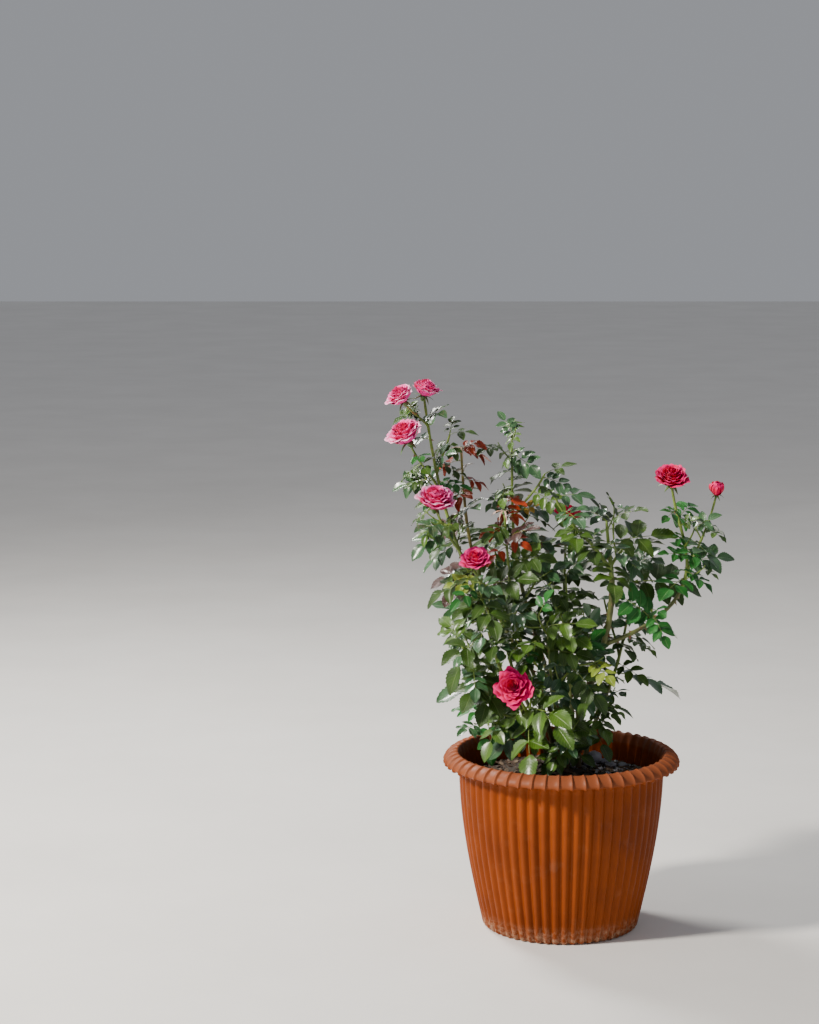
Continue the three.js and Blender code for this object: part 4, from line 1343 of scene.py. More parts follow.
def bladeTemplate():
    count = blade["teeth"]
    stations = [blade["start"] + (blade["end"] - blade["start"]) * (k / count) for k in range(count + 1)]
    step = stations[1] - stations[0]
    places = [(0.0, 0.0, 0.0)]  # along, across, across as a share of the width there
    places += [(0.0, -blade["stem"], -0.02), (0.0, blade["stem"], 0.02)]
    quads, triangles = [], []
    rows = []
    for k, a in enumerate(stations):
        w = halfWidthAt(a)
        row = []
        for s in (-1, -blade["half"], 0, blade["half"], 1):
            edge = blade["notch"] if abs(s) == 1 and k > 0 else 1
            row.append(len(places))
            places.append((a, s * w * edge, s * edge))
        rows.append(row)
    for k in range(count):
        low, high = rows[k], rows[k + 1]
        for c in range(4):
            quads.append((low[c], low[c + 1], high[c + 1], high[c]))
        a = stations[k] + step * blade["reach"]
        w = halfWidthAt(a) * blade["tooth"]
        for s, c in ((-1, 0), (1, 4)):
            tip = len(places)
            places.append((a, s * w, s))
            triangles.append((low[c], high[c], tip) if s < 0 else (high[c], low[c], tip))
    tip = len(places)
    places.append((1.0, 0.0, 0.0))
    last = rows[-1]
    for c in range(4):
        triangles.append((last[c], last[c + 1], tip))
    first = rows[0]
    quads.append((1, 0, first[2], first[0]))
    quads.append((0, 2, first[4], first[2]))
    return np.array(places), np.array(quads), np.array(triangles)


bladePlaces, bladeQuads, bladeTriangles = bladeTemplate()
leafBend = {
    "fold": (0.16, 0.42),
    "arch": (0.04, 0.22),
    "wave": (0.0, 0.05),
    "curl": (-0.1, 0.14),
    "bow": (0.02, 0.09),
    "youngFold": 1.2,  # how much more a young leaflet folds, arches and spreads
    "youngArch": 1.9,
    "youngBreadth": 1.5,
    "archRise": 0.25,  # how steeply the arch starts upwards, beside its fall
    "waves": 11,
    "narrowing": 0.25,  # how much its fold narrows it
}


def addBlades(kind, leaflets, draw, youth=False):
    along, across, share = bladePlaces[:, 0], bladePlaces[:, 1], bladePlaces[:, 2]
    for leaflet in leaflets:
        fold = between(leafBend["fold"], draw()) * (leafBend["youngFold"] if youth else 1)
        arch = between(leafBend["arch"], draw()) * (leafBend["youngArch"] if youth else 1)
        wave = between(leafBend["wave"], draw())
        curl = between(leafBend["curl"], draw())
        phase = draw() * fullTurn
        length = leaflet["length"]
        half = leaflet["width"] / 2 * (leafBend["youngBreadth"] if youth else 1)
        side = cross(leaflet["along"], leaflet["normal"])
        x = across * half
        lift = np.abs(x) * fold - arch * length * along ** 2
        lift = lift + leafBend["archRise"] * arch * length * along
        lift = lift + wave * length * np.sin(along * leafBend["waves"] + phase + share) * share ** 2
        lift = lift + curl * half * share ** 3 * along
        x = x * (1 - leafBend["narrowing"] * fold)
        points = leaflet["base"] + np.outer(along * length, leaflet["along"])
        points = points + np.outer(x, side) + np.outer(lift, leaflet["normal"])
        addTo(kind, points, bladeQuads, bladeTriangles, np.stack([0.5 + share / 2, along], axis=1))


finerPairs = {  # along the stalk: share, angle from it, size
    2: [(0.24, 76, 0.62), (0.52, 70, 0.72), (0.8, 60, 0.78)],
    1: [(0.4, 72, 0.66), (0.78, 60, 0.78)],
}
finer = {
    "share": 0.62,  # share of leaves with the finer leaflets
    "end": 0.86,
    "fewerSize": 0.86,  # size of the leaflets on leaves that keep the source's number of them
    "faceUp": 0.62,  # how far leaflets turn their faces and tips up
    "tipUp": 0.2,
    "turnSpread": 16,
    "fallSpread": 0.25,
    "sizeSpread": 0.16,
}


def finerLeaflets(leaf, bowed, draw):
    facing = unit(leaf["facing"] + up * finer["faceUp"])
    if draw() > finer["share"]:
        for leaflet in leaf["leaflets"]:
            leaflet["base"] = bowed(leaflet["at"])
            leaflet["along"] = unit(leaflet["along"] + up * finer["tipUp"])
            leaflet["normal"] = sideOf(leaflet["along"], facing)
            leaflet["length"] *= finer["fewerSize"]
            leaflet["width"] *= finer["fewerSize"]
        return leaf["leaflets"]
    found = []
    leafletPairs = finerPairs[leaf["pairCount"]]
    places = [(at, sign * angle, size) for at, angle, size in leafletPairs for sign in (1, -1)]
    for at, angle, size in [*places, (1, 0, finer["end"])]:
        angle += (draw() - 0.5) * finer["turnSpread"]
        heading = turned(leaf["direction"], leaf["facing"], angle)
        fall = leafSize["hang"] + leaf["droop"] * at * leafSize["droopShare"]
        fall += (draw() - 0.5) * finer["fallSpread"] - finer["tipUp"]
        heading = unit(heading - up * fall)
        length = leafSize["leaflet"] * leaf["size"] * size * nearOne(finer["sizeSpread"], draw)
        found.append({
            "base": bowed(at),
            "along": heading,
            "normal": sideOf(heading, facing),
            "length": length,
            "width": length * leafSize["widthShare"] * leaf["narrow"],
        })
    return found


# Stipules: a small wing on each side of a stalk's foot
stipule = {
    "length": 9,
    "corners": ((0, 0, 0), (0.5, 0.22, 0), (1, 0.42, 0.8), (0.95, 0, 0)),  # along, out, and mm up
}


def addStipules(kind, leaf, direction):
    side = cross(direction, leaf["facing"])
    size = stipule["length"] * leaf["size"]
    for sign in (-1, 1):
        points = []
        for along, out, rise in stipule["corners"]:
            place = leaf["root"] + direction * size * along
            points.append(place + side * sign * size * out + leaf["facing"] * rise)
        addTo(kind, points, [(0, 1, 2, 3)] if sign > 0 else [(3, 2, 1, 0)])


# Which tint each leaf takes: the shares of every kind on a mass
tintShares = {
    "mixed": (("dark", 0.34), ("blue", 0.26), ("mid", 0.25), ("fresh", 0.1), ("bright", 0.05)),
    "dark": (("dark", 0.5), ("blue", 0.28), ("mid", 0.18), ("bronze", 0.04)),
    "blue": (("blue", 0.46), ("dark", 0.28), ("mid", 0.23), ("yellow", 0.03)),
    "shade": (("blue", 0.5), ("dark", 0.3), ("mid", 0.2)),
    "mid": (("mid", 0.46), ("dark", 0.26), ("blue", 0.16), ("fresh", 0.12)),
    "fresh": (("fresh", 0.7), ("mid", 0.18), ("blue", 0.12)),
    "bronze": (("bronze", 0.45), ("dark", 0.35), ("blue", 0.2)),
}


def tintOf(leaf, mass, draw):
    pick = draw()
    if leaf.get("young"):
        return "young"
    if leaf.get("onYoung") and leaf["share"] > young["bronzeFrom"]:
        return "young" if leaf["share"] > young["redFrom"] else "bronze"
    total = sum(share for _, share in tintShares[mass["tints"]])
    for tint, share in tintShares[mass["tints"]]:
        pick -= share / total
        if pick <= 0:
            return tint
    return tintShares[mass["tints"]][0][0]


stalkTube = {  # places along a leaf's stalk and its thickness at each
    "places": (-0.02, 0.12, 0.3, 0.5, 0.68, 0.85, 1.0),
    "taper": (1.7, 1.15, 1, 0.9, 0.8, 0.7, 0.6),
    "least": 0.6,
    "sides": 5,
}


def addLeaf(leaf, tint, draw):
    length = distance(leaf["end"], leaf["root"])
    bow = between(leafBend["bow"], draw()) * length

    def bowed(t):
        return leaf["root"] + (leaf["end"] - leaf["root"]) * t + leaf["facing"] * (bow * 4 * t * (1 - t))

    thick = leafSize["stalkRadius"] * max(stalkTube["least"], leaf["size"])
    kind = "redStalks" if tint in ("young", "bronze") else "stalks"
    centres = [bowed(t) for t in stalkTube["places"]]
    addTube(kind, centres, [thick * r for r in stalkTube["taper"]], stalkTube["sides"], closeEnds=False)
    addStipules(kind, leaf, unit(leaf["end"] - leaf["root"]))
    if tint == "young" and not leaf.get("young"):
        leaf["narrow"] = young["narrow"]
        leaf["droop"] = young["tipDroop"]
    addBlades("leaves_" + tint, finerLeaflets(leaf, bowed, draw), draw, tint == "young")


leafSeed = 3000
for m, (name, mass) in enumerate(masses.items()):
    draw = seeded(leafSeed + m)
    for leaf in grown[name]["leaves"]:
        addLeaf(leaf, tintOf(leaf, mass, draw), draw)

massNames = tuple(masses)
shootBark = stemMaterial("shootBark", shootLook)
redBark = stemMaterial("redShootBark", redShootLook)
pieceOf("shoots", "shoots", shootBark, massNames)
pieceOf("red_shoots", "redShoots", redBark, massNames)
pieceOf("leaf_stalks", "stalks", shootBark, massNames)
pieceOf("red_leaf_stalks", "redStalks", redBark, massNames)
thornLook = {
    **shootLook,
    "dark": (0.16, 0.1, 0.04),
    "light": (0.26, 0.1, 0.05),
    "woodTop": 0.1,
    "woodFoot": 0.0,
}
pieceOf("thorns", "thorns", stemMaterial("thornHorn", thornLook), massNames)
for tint, settings in leafTints.items():
    kind = "leaves_" + tint
    if kind in heaps:
        pieceOf(kind, kind, leafMaterial("leaf_" + tint, settings), massNames)
print("leaves done")

# Blooms: petals in a spiral, upright in the heart and flat outside
petalLook = {
    "seed": 5000,
    "rows": 7,
    "columns": 9,
    "count": 62,
    "budCount": 14,
    "spread": (0.02, 0.86),  # how far out the tips of the inner and the outer petals reach
    "spreadCurve": 0.85,
    "height": (1.08, 0.58),  # and how high
    "heightCurve": 1.5,
    "width": (0.17, 0.42),  # half of their breadth
    "footWidth": 0.34,  # as a share of that
    "footOut": 0.05,
    "bellyHeight": 0.12,
    "flareDrop": 0.3,
    "widening": 1.2,  # the higher, the nearer to its foot a petal has its full breadth
    "shoulder": 0.22,  # how much lower a petal's sides end than its middle
    "point": 0.05,
    "flare": 0.2,
    "innerShare": 0.3,  # flare and ruffle of the inner petals, beside those of the outer ones
    "belly": 0.83,  # how far out the middle of a petal stands, as a share of its tip
    "hang": 0.4,  # how much longer and lower the petals on the lower side of a bloom that faces forward are
    "ruffle": 0.05,
    "ruffleOut": 5,
    "ruffleUp": 4,
    "hollow": (0.03, 0.14),  # radius of the cup that it curls round in the heart, and how much it grows
    "unwrap": 0.5,  # how far the outer petals open out of that cup
    "swingLimit": 2.3,
    "turnSpread": 24,
    "reachSpread": 0.16,
    "tipSpread": 0.12,
    "widthSpread": 0.3,
    "flareSpread": 0.8,
    "ruffleSpread": 1,
    "facing": 0.75,  # size of a bloom that faces fully forward, as a share of its own
    "uprightGain": 1.15,  # how soon it has its own size as it turns up
    "rough": 0.6,
    "sheen": 0.05,
    "specular": 0.12,
    "patches": 90,
    "patchEdges": (0.35, 0.65),
    "crinkle": 260,
    "relief": 0.3,
    "reliefDepth": 0.0006,
    "edgeAndHighlightFrom": (0.7, 1.02),  # along it, where the paler colour of its edge takes over, partly the petal's own paler rim and partly a painted highlight
    "edgeAndHighlightDip": 0.12,  # how much later that is at its sides
}
bud = {  # where its petals differ, with reach and tip as their start and their change outwards
    "reach": (0.25, 0.45),
    "tip": (1.7, -0.4),
    "belly": 1.2,
    "width": 1.7,
    "flare": -0.45,
}
# Each tint's edge colour, paler towards the petal tips, is partly the petal's own rim and partly a painted
# highlight
petalTints = {
    "crimsonHeart": {"dark": (0.46, 0.0, 0.024), "light": (0.62, 0.0, 0.05), "edge": (0.78, 0.0, 0.1)},
    "crimson": {"dark": (0.58, 0.0, 0.045), "light": (0.78, 0.0, 0.1), "edge": (0.9, 0.012, 0.22)},
    "rose": {"dark": (0.6, 0.0, 0.085), "light": (0.82, 0.0, 0.17), "edge": (0.92, 0.04, 0.32)},
    "pink": {"dark": (0.76, 0.0, 0.18), "light": (0.9, 0.006, 0.3), "edge": (0.95, 0.2, 0.54)},
    "pale": {"dark": (0.84, 0.01, 0.27), "light": (0.93, 0.09, 0.45), "edge": (0.99, 0.6, 0.82)},
}
bloomTints = {  # from the heart out
    "crimson": ("crimsonHeart", "crimson", "crimson"),
    "rose": ("crimson", "rose", "rose"),
    "pink": ("rose", "pink", "pale"),
}


def addPetal(kind, foot, axis, side, share, azimuth, size, draw, closed):
    rows, columns = petalLook["rows"], petalLook["columns"]
    other = cross(axis, side)
    angle = math.radians(azimuth)
    radial = side * math.cos(angle) + other * math.sin(angle)
    tangent = cross(axis, radial)
    low = max(0, -radial[2]) * share * (0 if closed else petalLook["hang"] * (1 - axis[2]))
    reach = between(petalLook["spread"], share ** petalLook["spreadCurve"])
    reach *= nearOne(petalLook["reachSpread"], draw) * (1 + low)
    tip = between(petalLook["height"], share ** petalLook["heightCurve"])
    tip += (draw() - 0.5) * petalLook["tipSpread"] - low
    width = size * between(petalLook["width"], share) * nearOne(petalLook["widthSpread"], draw)
    outer = between((petalLook["innerShare"], 1), share)
    flare = petalLook["flare"] * outer * nearOne(petalLook["flareSpread"], draw)
    belly = petalLook["belly"]
    if closed:
        reach = bud["reach"][0] + bud["reach"][1] * share
        tip = bud["tip"][0] + bud["tip"][1] * share
        width *= bud["width"]
        flare = bud["flare"]
        belly = bud["belly"]
    curve = (
        np.array([petalLook["footOut"], 0.0]) * size,
        np.array([reach * belly, tip * petalLook["bellyHeight"]]) * size,
        np.array([reach * belly, tip]) * size,
        np.array([reach * (1 + flare), tip - abs(flare) * petalLook["flareDrop"]]) * size,
    )
    wrap = 1 - petalLook["unwrap"] * share
    hollow = size * (petalLook["hollow"][0] + petalLook["hollow"][1] * share)
    ruffle = petalLook["ruffle"] * size * outer * nearOne(petalLook["ruffleSpread"], draw)
    phase = draw() * fullTurn
    points, uvs = [], []
    for i in range(rows):
        v = i / (rows - 1)
        widened = math.sin(min(1, v * petalLook["widening"]) * math.pi / 2)
        w = width * between((petalLook["footWidth"], 1), widened)
        for k in range(columns):
            u = -1 + 2 * k / (columns - 1)
            t = v * (1 - petalLook["shoulder"] * abs(u) ** 3 + petalLook["point"] * (1 - abs(u)) ** 2)
            r, h = bezier(curve, t)
            bend = r + hollow
            swing = min(petalLook["swingLimit"], max(-petalLook["swingLimit"], u * w / bend * wrap))
            lateral = math.sin(swing) * bend / wrap
            out = r - (1 - math.cos(swing)) * bend
            out += ruffle * math.sin(petalLook["ruffleOut"] * u + phase) * v * v
            rise = h + ruffle * math.cos(petalLook["ruffleUp"] * u + phase) * v ** 3
            points.append(foot + radial * out + tangent * lateral + axis * rise)
            uvs.append(((u + 1) / 2, v * (1 - petalLook["edgeAndHighlightDip"] * abs(u) ** 3)))
    addTo(kind, points, gridQuads(rows, columns, False), None, uvs)


calyx = {  # the hip's heights and radii, and its sepals, as shares of the bloom
    "heights": (-0.42, -0.34, -0.2, -0.06, 0.06),
    "radii": (0.08, 0.14, 0.19, 0.15, 0.2),
    "sides": 10,
    "sepals": 5,
    "sepalRows": 5,
    "sepalFoot": 0.1,  # how far out a sepal starts
    "sepalSeat": -0.02,  # and how high
    "sepalWidth": 0.12,
    "sepalEdge": 0.2,  # half of its breadth at the tip, in mm
    "sepalKeel": 0.35,
    "sepalLength": (0.62, 0.82),
    "sepalDroop": (0.5, 1.4),
    "turnSpread": 20,
}


def addCalyx(foot, axis, side, size, draw):
    other = cross(axis, side)
    centres = [foot + axis * size * h for h in calyx["heights"]]
    addTube("calyx", centres, [size * w for w in calyx["radii"]], calyx["sides"])
    for k in range(calyx["sepals"]):
        angle = math.radians(k * 360 / calyx["sepals"] + calyx["turnSpread"] * draw())
        radial = side * math.cos(angle) + other * math.sin(angle)
        tangent = cross(axis, radial)
        length = size * between(calyx["sepalLength"], draw())
        droop = between(calyx["sepalDroop"], draw())
        points = []
        for i in range(calyx["sepalRows"]):
            v = i / (calyx["sepalRows"] - 1)
            w = size * calyx["sepalWidth"] * (1 - v) ** 0.7 + calyx["sepalEdge"]
            rise = calyx["sepalSeat"] * size - droop * length * v * v * 0.5
            centre = foot + radial * (size * calyx["sepalFoot"] + length * v) + axis * rise
            keel = centre + axis * w * calyx["sepalKeel"]
            points += [centre - tangent * w, keel, centre + tangent * w]
        addTo("calyx", points, gridQuads(calyx["sepalRows"], 3, False))


def addBloom(shoot, seed):
    draw = seeded(seed)
    end = shoot["end"]
    foot, axis = shoot["curve"][3], shoot["axis"]
    upright = min(1, axis[2] * petalLook["uprightGain"])
    size = end["size"] * between((petalLook["facing"], 1), upright)
    closed = end["kind"] == "bud"
    side = sideOf(axis, vec(1, 0, 0))
    count = petalLook["budCount"] if closed else petalLook["count"]
    tints = bloomTints[end["petals"]]
    for i in range(count):
        share = (i + 0.5) / count
        tint = tints[min(2, int(share * 2 + draw()))]
        azimuth = i * goldenTurn + (draw() - 0.5) * petalLook["turnSpread"]
        addPetal("petals_" + tint, foot, axis, side, share, azimuth, size, draw, closed)
    addCalyx(foot, axis, side, size, draw)


def petalMaterial(name, tint):
    material, tree, shader = newMaterial(name, petalLook["rough"], petalLook["sheen"])
    shader.inputs["Specular IOR Level"].default_value = petalLook["specular"]
    place = tree.nodes.new("ShaderNodeTexCoord")
    split = tree.nodes.new("ShaderNodeSeparateXYZ")
    tree.links.new(place.outputs["UV"], split.inputs[0])
    patches = noiseNode(tree, place.outputs["Object"], petalLook["patches"], 3)
    color = rampNode(tree, patches, petalLook["patchEdges"], tint["dark"], tint["light"])
    # Paler colour towards each petal's tip: partly its own rim colour, partly a painted highlight
    edgeAndHighlightAmount = rangeNode(tree, split.outputs[1], *petalLook["edgeAndHighlightFrom"])
    color = mixNode(tree, edgeAndHighlightAmount, color, tint["edge"])
    tree.links.new(color, shader.inputs["Base Color"])
    crinkle = noiseNode(tree, place.outputs["Object"], petalLook["crinkle"], 3)
    bumpNode(tree, crinkle, shader, petalLook["relief"], petalLook["reliefDepth"])
    return material


# A spent flower head: a small hip with dry strips hanging from it
spent = {
    "hip": 3.6,
    "hipRise": 0.6,
    "hipPlaces": (-1, -0.5, 0, 0.6, 1),
    "hipTaper": (0.4, 0.85, 1, 0.8, 0.45),
    "hipSides": 9,
    "strips": 8,
    "length": (15, 25),
    "width": (1.1, 2.1),
    "start": (4, 2),  # along the stem, and out from it
    "reach": (0.5, 0.8),
    "fall": (0.4, 1.6),
    "twist": 1.6,
    "keel": 0.3,
    "rows": 6,
}


def addSpentTuft(shoot, seed):
    draw = seeded(seed)
    foot = shoot["curve"][3]
    axis = bezierTangent(shoot["curve"], 1)
    side = sideOf(axis, vec(1, 0, 0))
    other = cross(axis, side)
    centres = [foot + axis * spent["hip"] * (h + spent["hipRise"]) for h in spent["hipPlaces"]]
    addTube("calyx", centres, [spent["hip"] * w for w in spent["hipTaper"]], spent["hipSides"])
    for k in range(spent["strips"]):
        angle = math.radians(k * goldenTurn)
        radial = side * math.cos(angle) + other * math.sin(angle)
        tangent = cross(axis, radial)
        length = between(spent["length"], draw())
        width = between(spent["width"], draw())
        fall = between(spent["fall"], draw())
        twist = (draw() - 0.5) * spent["twist"]
        points = []
        for i in range(spent["rows"]):
            v = i / (spent["rows"] - 1)
            rise = spent["start"][0] + length * (spent["reach"][0] * v - fall * v * v)
            out = spent["start"][1] + length * spent["reach"][1] * v
            centre = foot + axis * rise + radial * out
            across = tangent * math.cos(twist * v) + axis * math.sin(twist * v)
            w = width * (0.5 + 1.2 * v * (1 - v)) * (1 - 0.5 * v)
            points += [centre - across * w, centre + axis * w * spent["keel"], centre + across * w]
        addTo("dryStrips", points, gridQuads(spent["rows"], 3, False))


bloomSeed = petalLook["seed"]
for name, mass in masses.items():
    for shoot in mass["plan"]:
        if "axis" in shoot:
            addBloom(shoot, bloomSeed)
            bloomSeed += 1
        elif shoot["end"]["kind"] == "young":
            addSpentTuft(shoot, bloomSeed)
for tint, settings in petalTints.items():
    kind = "petals_" + tint
    if kind in heaps:
        pieceOf(kind, kind, petalMaterial("petal_" + tint, settings), massNames)
stripTint = {"dark": (0.5, 0.24, 0.16), "light": (0.74, 0.54, 0.44), "edge": (0.8, 0.66, 0.58)}
pieceOf("dry_strips", "dryStrips", petalMaterial("dryStrip", stripTint), massNames)
sepalLook = {**shootLook, "dark": (0.06, 0.13, 0.03), "light": (0.12, 0.22, 0.06)}
pieceOf("calyces", "calyx", stemMaterial("sepal", sepalLook), massNames)
print("blooms done")


# The pot: rounded pleats on its wall, and stepped ones on its collar
footRows = [  # radius beside the foot's, height, and share of the groove
    (-12, 0, 0),
    (-5.4, 0, 0.6),
    (-3, 0.5, 0.8),
    (-1, 2.1, 0.95),
]


def potMesh():
    across = [0, 0.14, 0.28, 0.42, 0.53, 0.62, 0.69, 0.75, 0.79, 0.83, 0.88, 0.94]  # places across one pleat
    phase = np.tile(across, pot["pleats"])
    count = len(phase)
    angles = (np.repeat(np.arange(pot["pleats"]), len(across)) + phase - 0.5) / pot["pleats"] * 2 * math.pi
    groove = 1 - np.sin(math.pi * phase) ** pot["ribSharpness"]
    climb = np.minimum(phase / pot["stepAt"], 1) ** pot["stepClimb"]
    drop = np.clip((pot["stepAt"] + pot["stepWidth"] - phase) / pot["stepWidth"], 0, 1)
    step = climb * drop - 0.5
    rows = []

    def add(radius, z, groovePart, stepPart=0.0, lean=0.0):
        r = radius - groovePart * groove + stepPart * step * math.cos(math.radians(lean))
        height = z + stepPart * step * math.sin(math.radians(lean))
        rows.append(np.stack([r * np.cos(angles), r * np.sin(angles), height + 0 * r], axis=1))

    depth = pot["pleatDepth"] * pot["grooveScale"]
    for off, z, share in footRows:
        add(pot["baseRadius"] + off, z, depth * share)
    wallTop = rim["outerEdge"] - rim["thickness"]
    for i in range(pot["wallRows"] + 1):
        z = pot["footChamfer"] + (wallTop - pot["footChamfer"]) * i / pot["wallRows"]
        add(potRadius(z), z, depth)
    collar = [  # radius, height above the wall's top, groove, size of the step, the way it goes
        (158, 0.6, depth * 0.8, 0, -90),
        (166, 0.4, depth * 0.4, 1.2, -90),
        (171.4, 0.3, 0, 2.7, -70),
        (173.4, 1.8, 0, 3.5, -35),
        (173.8, 4.6, 0, 3.7, 0),
        (172.4, 8.6, 0, 3.6, 25),
        (169.3, 12.6, 0, 3.5, 45),
        (165.2, 15.7, 0, 3.3, 60),
        (161, 17.7, 0, 3.0, 75),
        (157.6, 18.7, 0, 2.5, 90),
        (155.2, 18.9, 0, 1.8, 110),
        (153.6, 18.2, 0.6, 1.2, 150),
        (152.8, 16.2, 1.2, 0.8, 180),
        (151.8, 12, 2.0, 0.3, 180),
    ]
    for radius, z, groovePart, size, lean in collar:
        add(radius, wallTop + z, groovePart, size, lean)
    innerHeight = wallTop - pot["innerFoot"] + pot["innerStart"]
    for i in range(pot["innerRows"] + 1):
        z = wallTop + pot["innerStart"] - innerHeight * i / pot["innerRows"]
        share = between((pot["innerGroove"], 1), min(1, i / pot["innerFade"]))
        add(potInside(z) + pot["innerGap"], z, pot["pleatDepth"] * share)
    points = np.concatenate([*rows, [(0, 0, 0)]])
    quads = gridQuads(len(rows), count, True)
    centre = len(points) - 1
    triangles = [(centre, (k + 1) % count, k) for k in range(count)]
    addTo("pot", points, quads, triangles)


potLook = {
    "wall": (0.25, 0.045, 0.0),
    "wallDark": (0.18, 0.03, 0.0),
    "collar": (0.235, 0.063, 0.022),
    "dust": (0.5, 0.34, 0.22),
    "rough": (0.36, 0.24),  # least, and how much its patches add
    "specular": 0.17,
    "patches": 9,  # how fine each kind of mark is, here and in the next three lines
    "scuffs": 160,
    "grime": 30,
    "grain": 700,
    "patchEdges": (0.36, 0.62),
    "scuffEdges": (0.44, 0.66),
    "grimeEdges": (0.56, 0.9),
    "relief": 0.12,
    "reliefDepth": 0.0004,
    "footDust": 0.03,  # height in metres that dust and scuffs reach
    "smudges": 0.14,
    "collarFrom": (0.2465, 0.2505),  # heights in metres between which the collar's faded colour takes over
}


def potMaterial():
    material, tree, shader = newMaterial("potClay", potLook["rough"][0])
    place = tree.nodes.new("ShaderNodeTexCoord")
    split = tree.nodes.new("ShaderNodeSeparateXYZ")
    tree.links.new(place.outputs["Object"], split.inputs[0])
    broad = noiseNode(tree, place.outputs["Object"], potLook["patches"], 4)
    color = rampNode(tree, broad, potLook["patchEdges"], potLook["wallDark"], potLook["wall"])
    faded = rangeNode(tree, split.outputs[2], *potLook["collarFrom"])
    color = mixNode(tree, faded, color, potLook["collar"])
    nearFoot = rangeNode(tree, split.outputs[2], potLook["footDust"], 0.0)
    scuffs = noiseNode(tree, place.outputs["Object"], potLook["scuffs"], 6, 0.75)
    scuffs = rangeNode(tree, scuffs, *potLook["scuffEdges"])
    amount = mathNode(tree, "MULTIPLY", nearFoot, scuffs)
    grime = noiseNode(tree, place.outputs["Object"], potLook["grime"], 5, 0.7)
    grime = rangeNode(tree, grime, *potLook["grimeEdges"])
    smudges = mathNode(tree, "MULTIPLY", grime, potLook["smudges"])
    amount = mathNode(tree, "MAXIMUM", amount, smudges)
    color = mixNode(tree, amount, color, potLook["dust"])
    tree.links.new(color, shader.inputs["Base Color"])
    rough = mathNode(tree, "MULTIPLY_ADD", broad, potLook["rough"][1], potLook["rough"][0])
    tree.links.new(rough, shader.inputs["Roughness"])
    grain = noiseNode(tree, place.outputs["Object"], potLook["grain"], 3)
    bumpNode(tree, grain, shader, potLook["relief"], potLook["reliefDepth"])
    shader.inputs["Specular IOR Level"].default_value = potLook["specular"]
    return material


potMesh()
pieceOf("pleated_pot", "pot", potMaterial(), ("pot",))
print("pot done")


# Soil with crumbs, chips of bark and stones
def soilMesh():
    rings, sectors = soil["rings"], soil["sectors"]
    draw = seeded(soil["seed"])
    points = []
    jitter = np.array([draw() for _ in range(rings * sectors)]).reshape(rings, sectors)
    for r in range(rings):
        share = r / (rings - 1)
        radius = (soilRadius + soil["past"]) * share
        for k in range(sectors):
            angle = k / sectors * 2 * math.pi
            x, y = radius * math.cos(angle), radius * math.sin(angle)
            # waves along x and y, each bent by the other
            swell = math.sin(x * 0.21 + 1.7 * math.sin(y * 0.13))
            swell *= math.sin(y * 0.19 + 1.1 * math.sin(x * 0.17))
            lump = soil["swellShare"] * swell + soil["crumbShare"] * (jitter[r, k] - 0.5)
            z = soilTop(x, y) + soil["lumps"] * lump * (r > 0)
            points.append((x, y, z))
    addTo("soil", points, gridQuads(rings, sectors, True))


stone = {"squash": (0.72, 0.92), "flat": 0.72, "bumps": 5, "bumpRate": 4, "bumpSize": (0.04, 0.09)}


def addStone(kind, x, y, z, size, tall, seed, rows, columns):
    draw = seeded(seed)
    turn = draw() * fullTurn
    c, s = math.cos(turn), math.sin(turn)
    squash = between(stone["squash"], draw())
    bumps = []
    for _ in range(stone["bumps"]):
        bumps.append((draw() * stone["bumpRate"], draw() * fullTurn, between(stone["bumpSize"], draw())))
    points = []
    for i in range(rows):
        polar = math.pi * i / (rows - 1)
        for k in range(columns):
            angle = k / columns * 2 * math.pi
            r = 1.0
            for rate, phase, amount in bumps:
                wave = amount * math.sin((1 + rate) * angle + phase) * math.sin(polar)
                r += wave * math.cos(polar * rate + phase)
            px = size * r * math.sin(polar) * math.cos(angle)
            py = size * squash * r * math.sin(polar) * math.sin(angle)
            pz = size * tall * r * math.cos(polar) * stone["flat"]
            points.append((x + px * c - py * s, y + px * s + py * c, z + pz))
    addTo(kind, points, gridQuads(rows, columns, True))


pebbles = [
    {"x": 52, "y": 62, "size": 13, "tall": 1.05},
    {"x": 44, "y": 36, "size": 11, "tall": 0.6},
    {"x": 76, "y": 44, "size": 10, "tall": 0.6},
    {"x": 68, "y": 70, "size": 8, "tall": 0.7},
    {"x": 96, "y": 58, "size": 8, "tall": 0.6},
]
pebbleSeed = 31
pebbleSeat = 0.62  # height of a pebble's middle over the soil, as a share of its size times its tall
pebbleGrid = (14, 20)


gravel = {
    "seed": 4242,
    "stoneSeed": 6000,
    "count": 120,
    "x": 72,
    "y": 42,
    "spread": 50,
    "stretch": 1.15,
    "size": (2.2, 5.4),
    "mostlySmall": 1.6,  # over 1 makes more small ones than large ones
    "tall": (0.5, 0.9),
    "seat": 0.3,  # height of a stone's middle over the soil, as a share of its size
    "grid": (6, 8),
}
soilMargin = 7  # from the wall to the nearest stones and chips


def scatterGravel():
    draw = seeded(gravel["seed"])
    for i in range(gravel["count"]):
        angle, away = draw() * 2 * math.pi, gravel["spread"] * math.sqrt(draw())
        x = gravel["x"] + away * gravel["stretch"] * math.cos(angle)
        y = gravel["y"] + away * math.sin(angle)
        if math.hypot(x, y) > soilRadius - soilMargin:
            continue
        size = between(gravel["size"], draw() ** gravel["mostlySmall"])
        tall = between(gravel["tall"], draw())
        z = soilTop(x, y) + size * gravel["seat"]
        addStone("gravel", x, y, z, size, tall, gravel["stoneSeed"] + i, *gravel["grid"])


chips = {
    "seed": 515,
    "count": 620,
    "length": (3.5, 13),
    "mostlySmall": 1.8,
    "width": (0.35, 0.7),  # as a share of its length
    "thick": (1.0, 2.6),
    "darkShare": 0.6,
    "raise": (1.2, 2.8),  # from the soil to its middle
    "tilt": 0.9,
    "lean": 0.7,
    "outline": ((-0.5, -0.4), (0.1, -0.5), (0.5, -0.2), (0.42, 0.4), (-0.1, 0.5), (-0.5, 0.3)),
    "edgeSpread": 0.4,
    "thickSpread": 0.6,
}


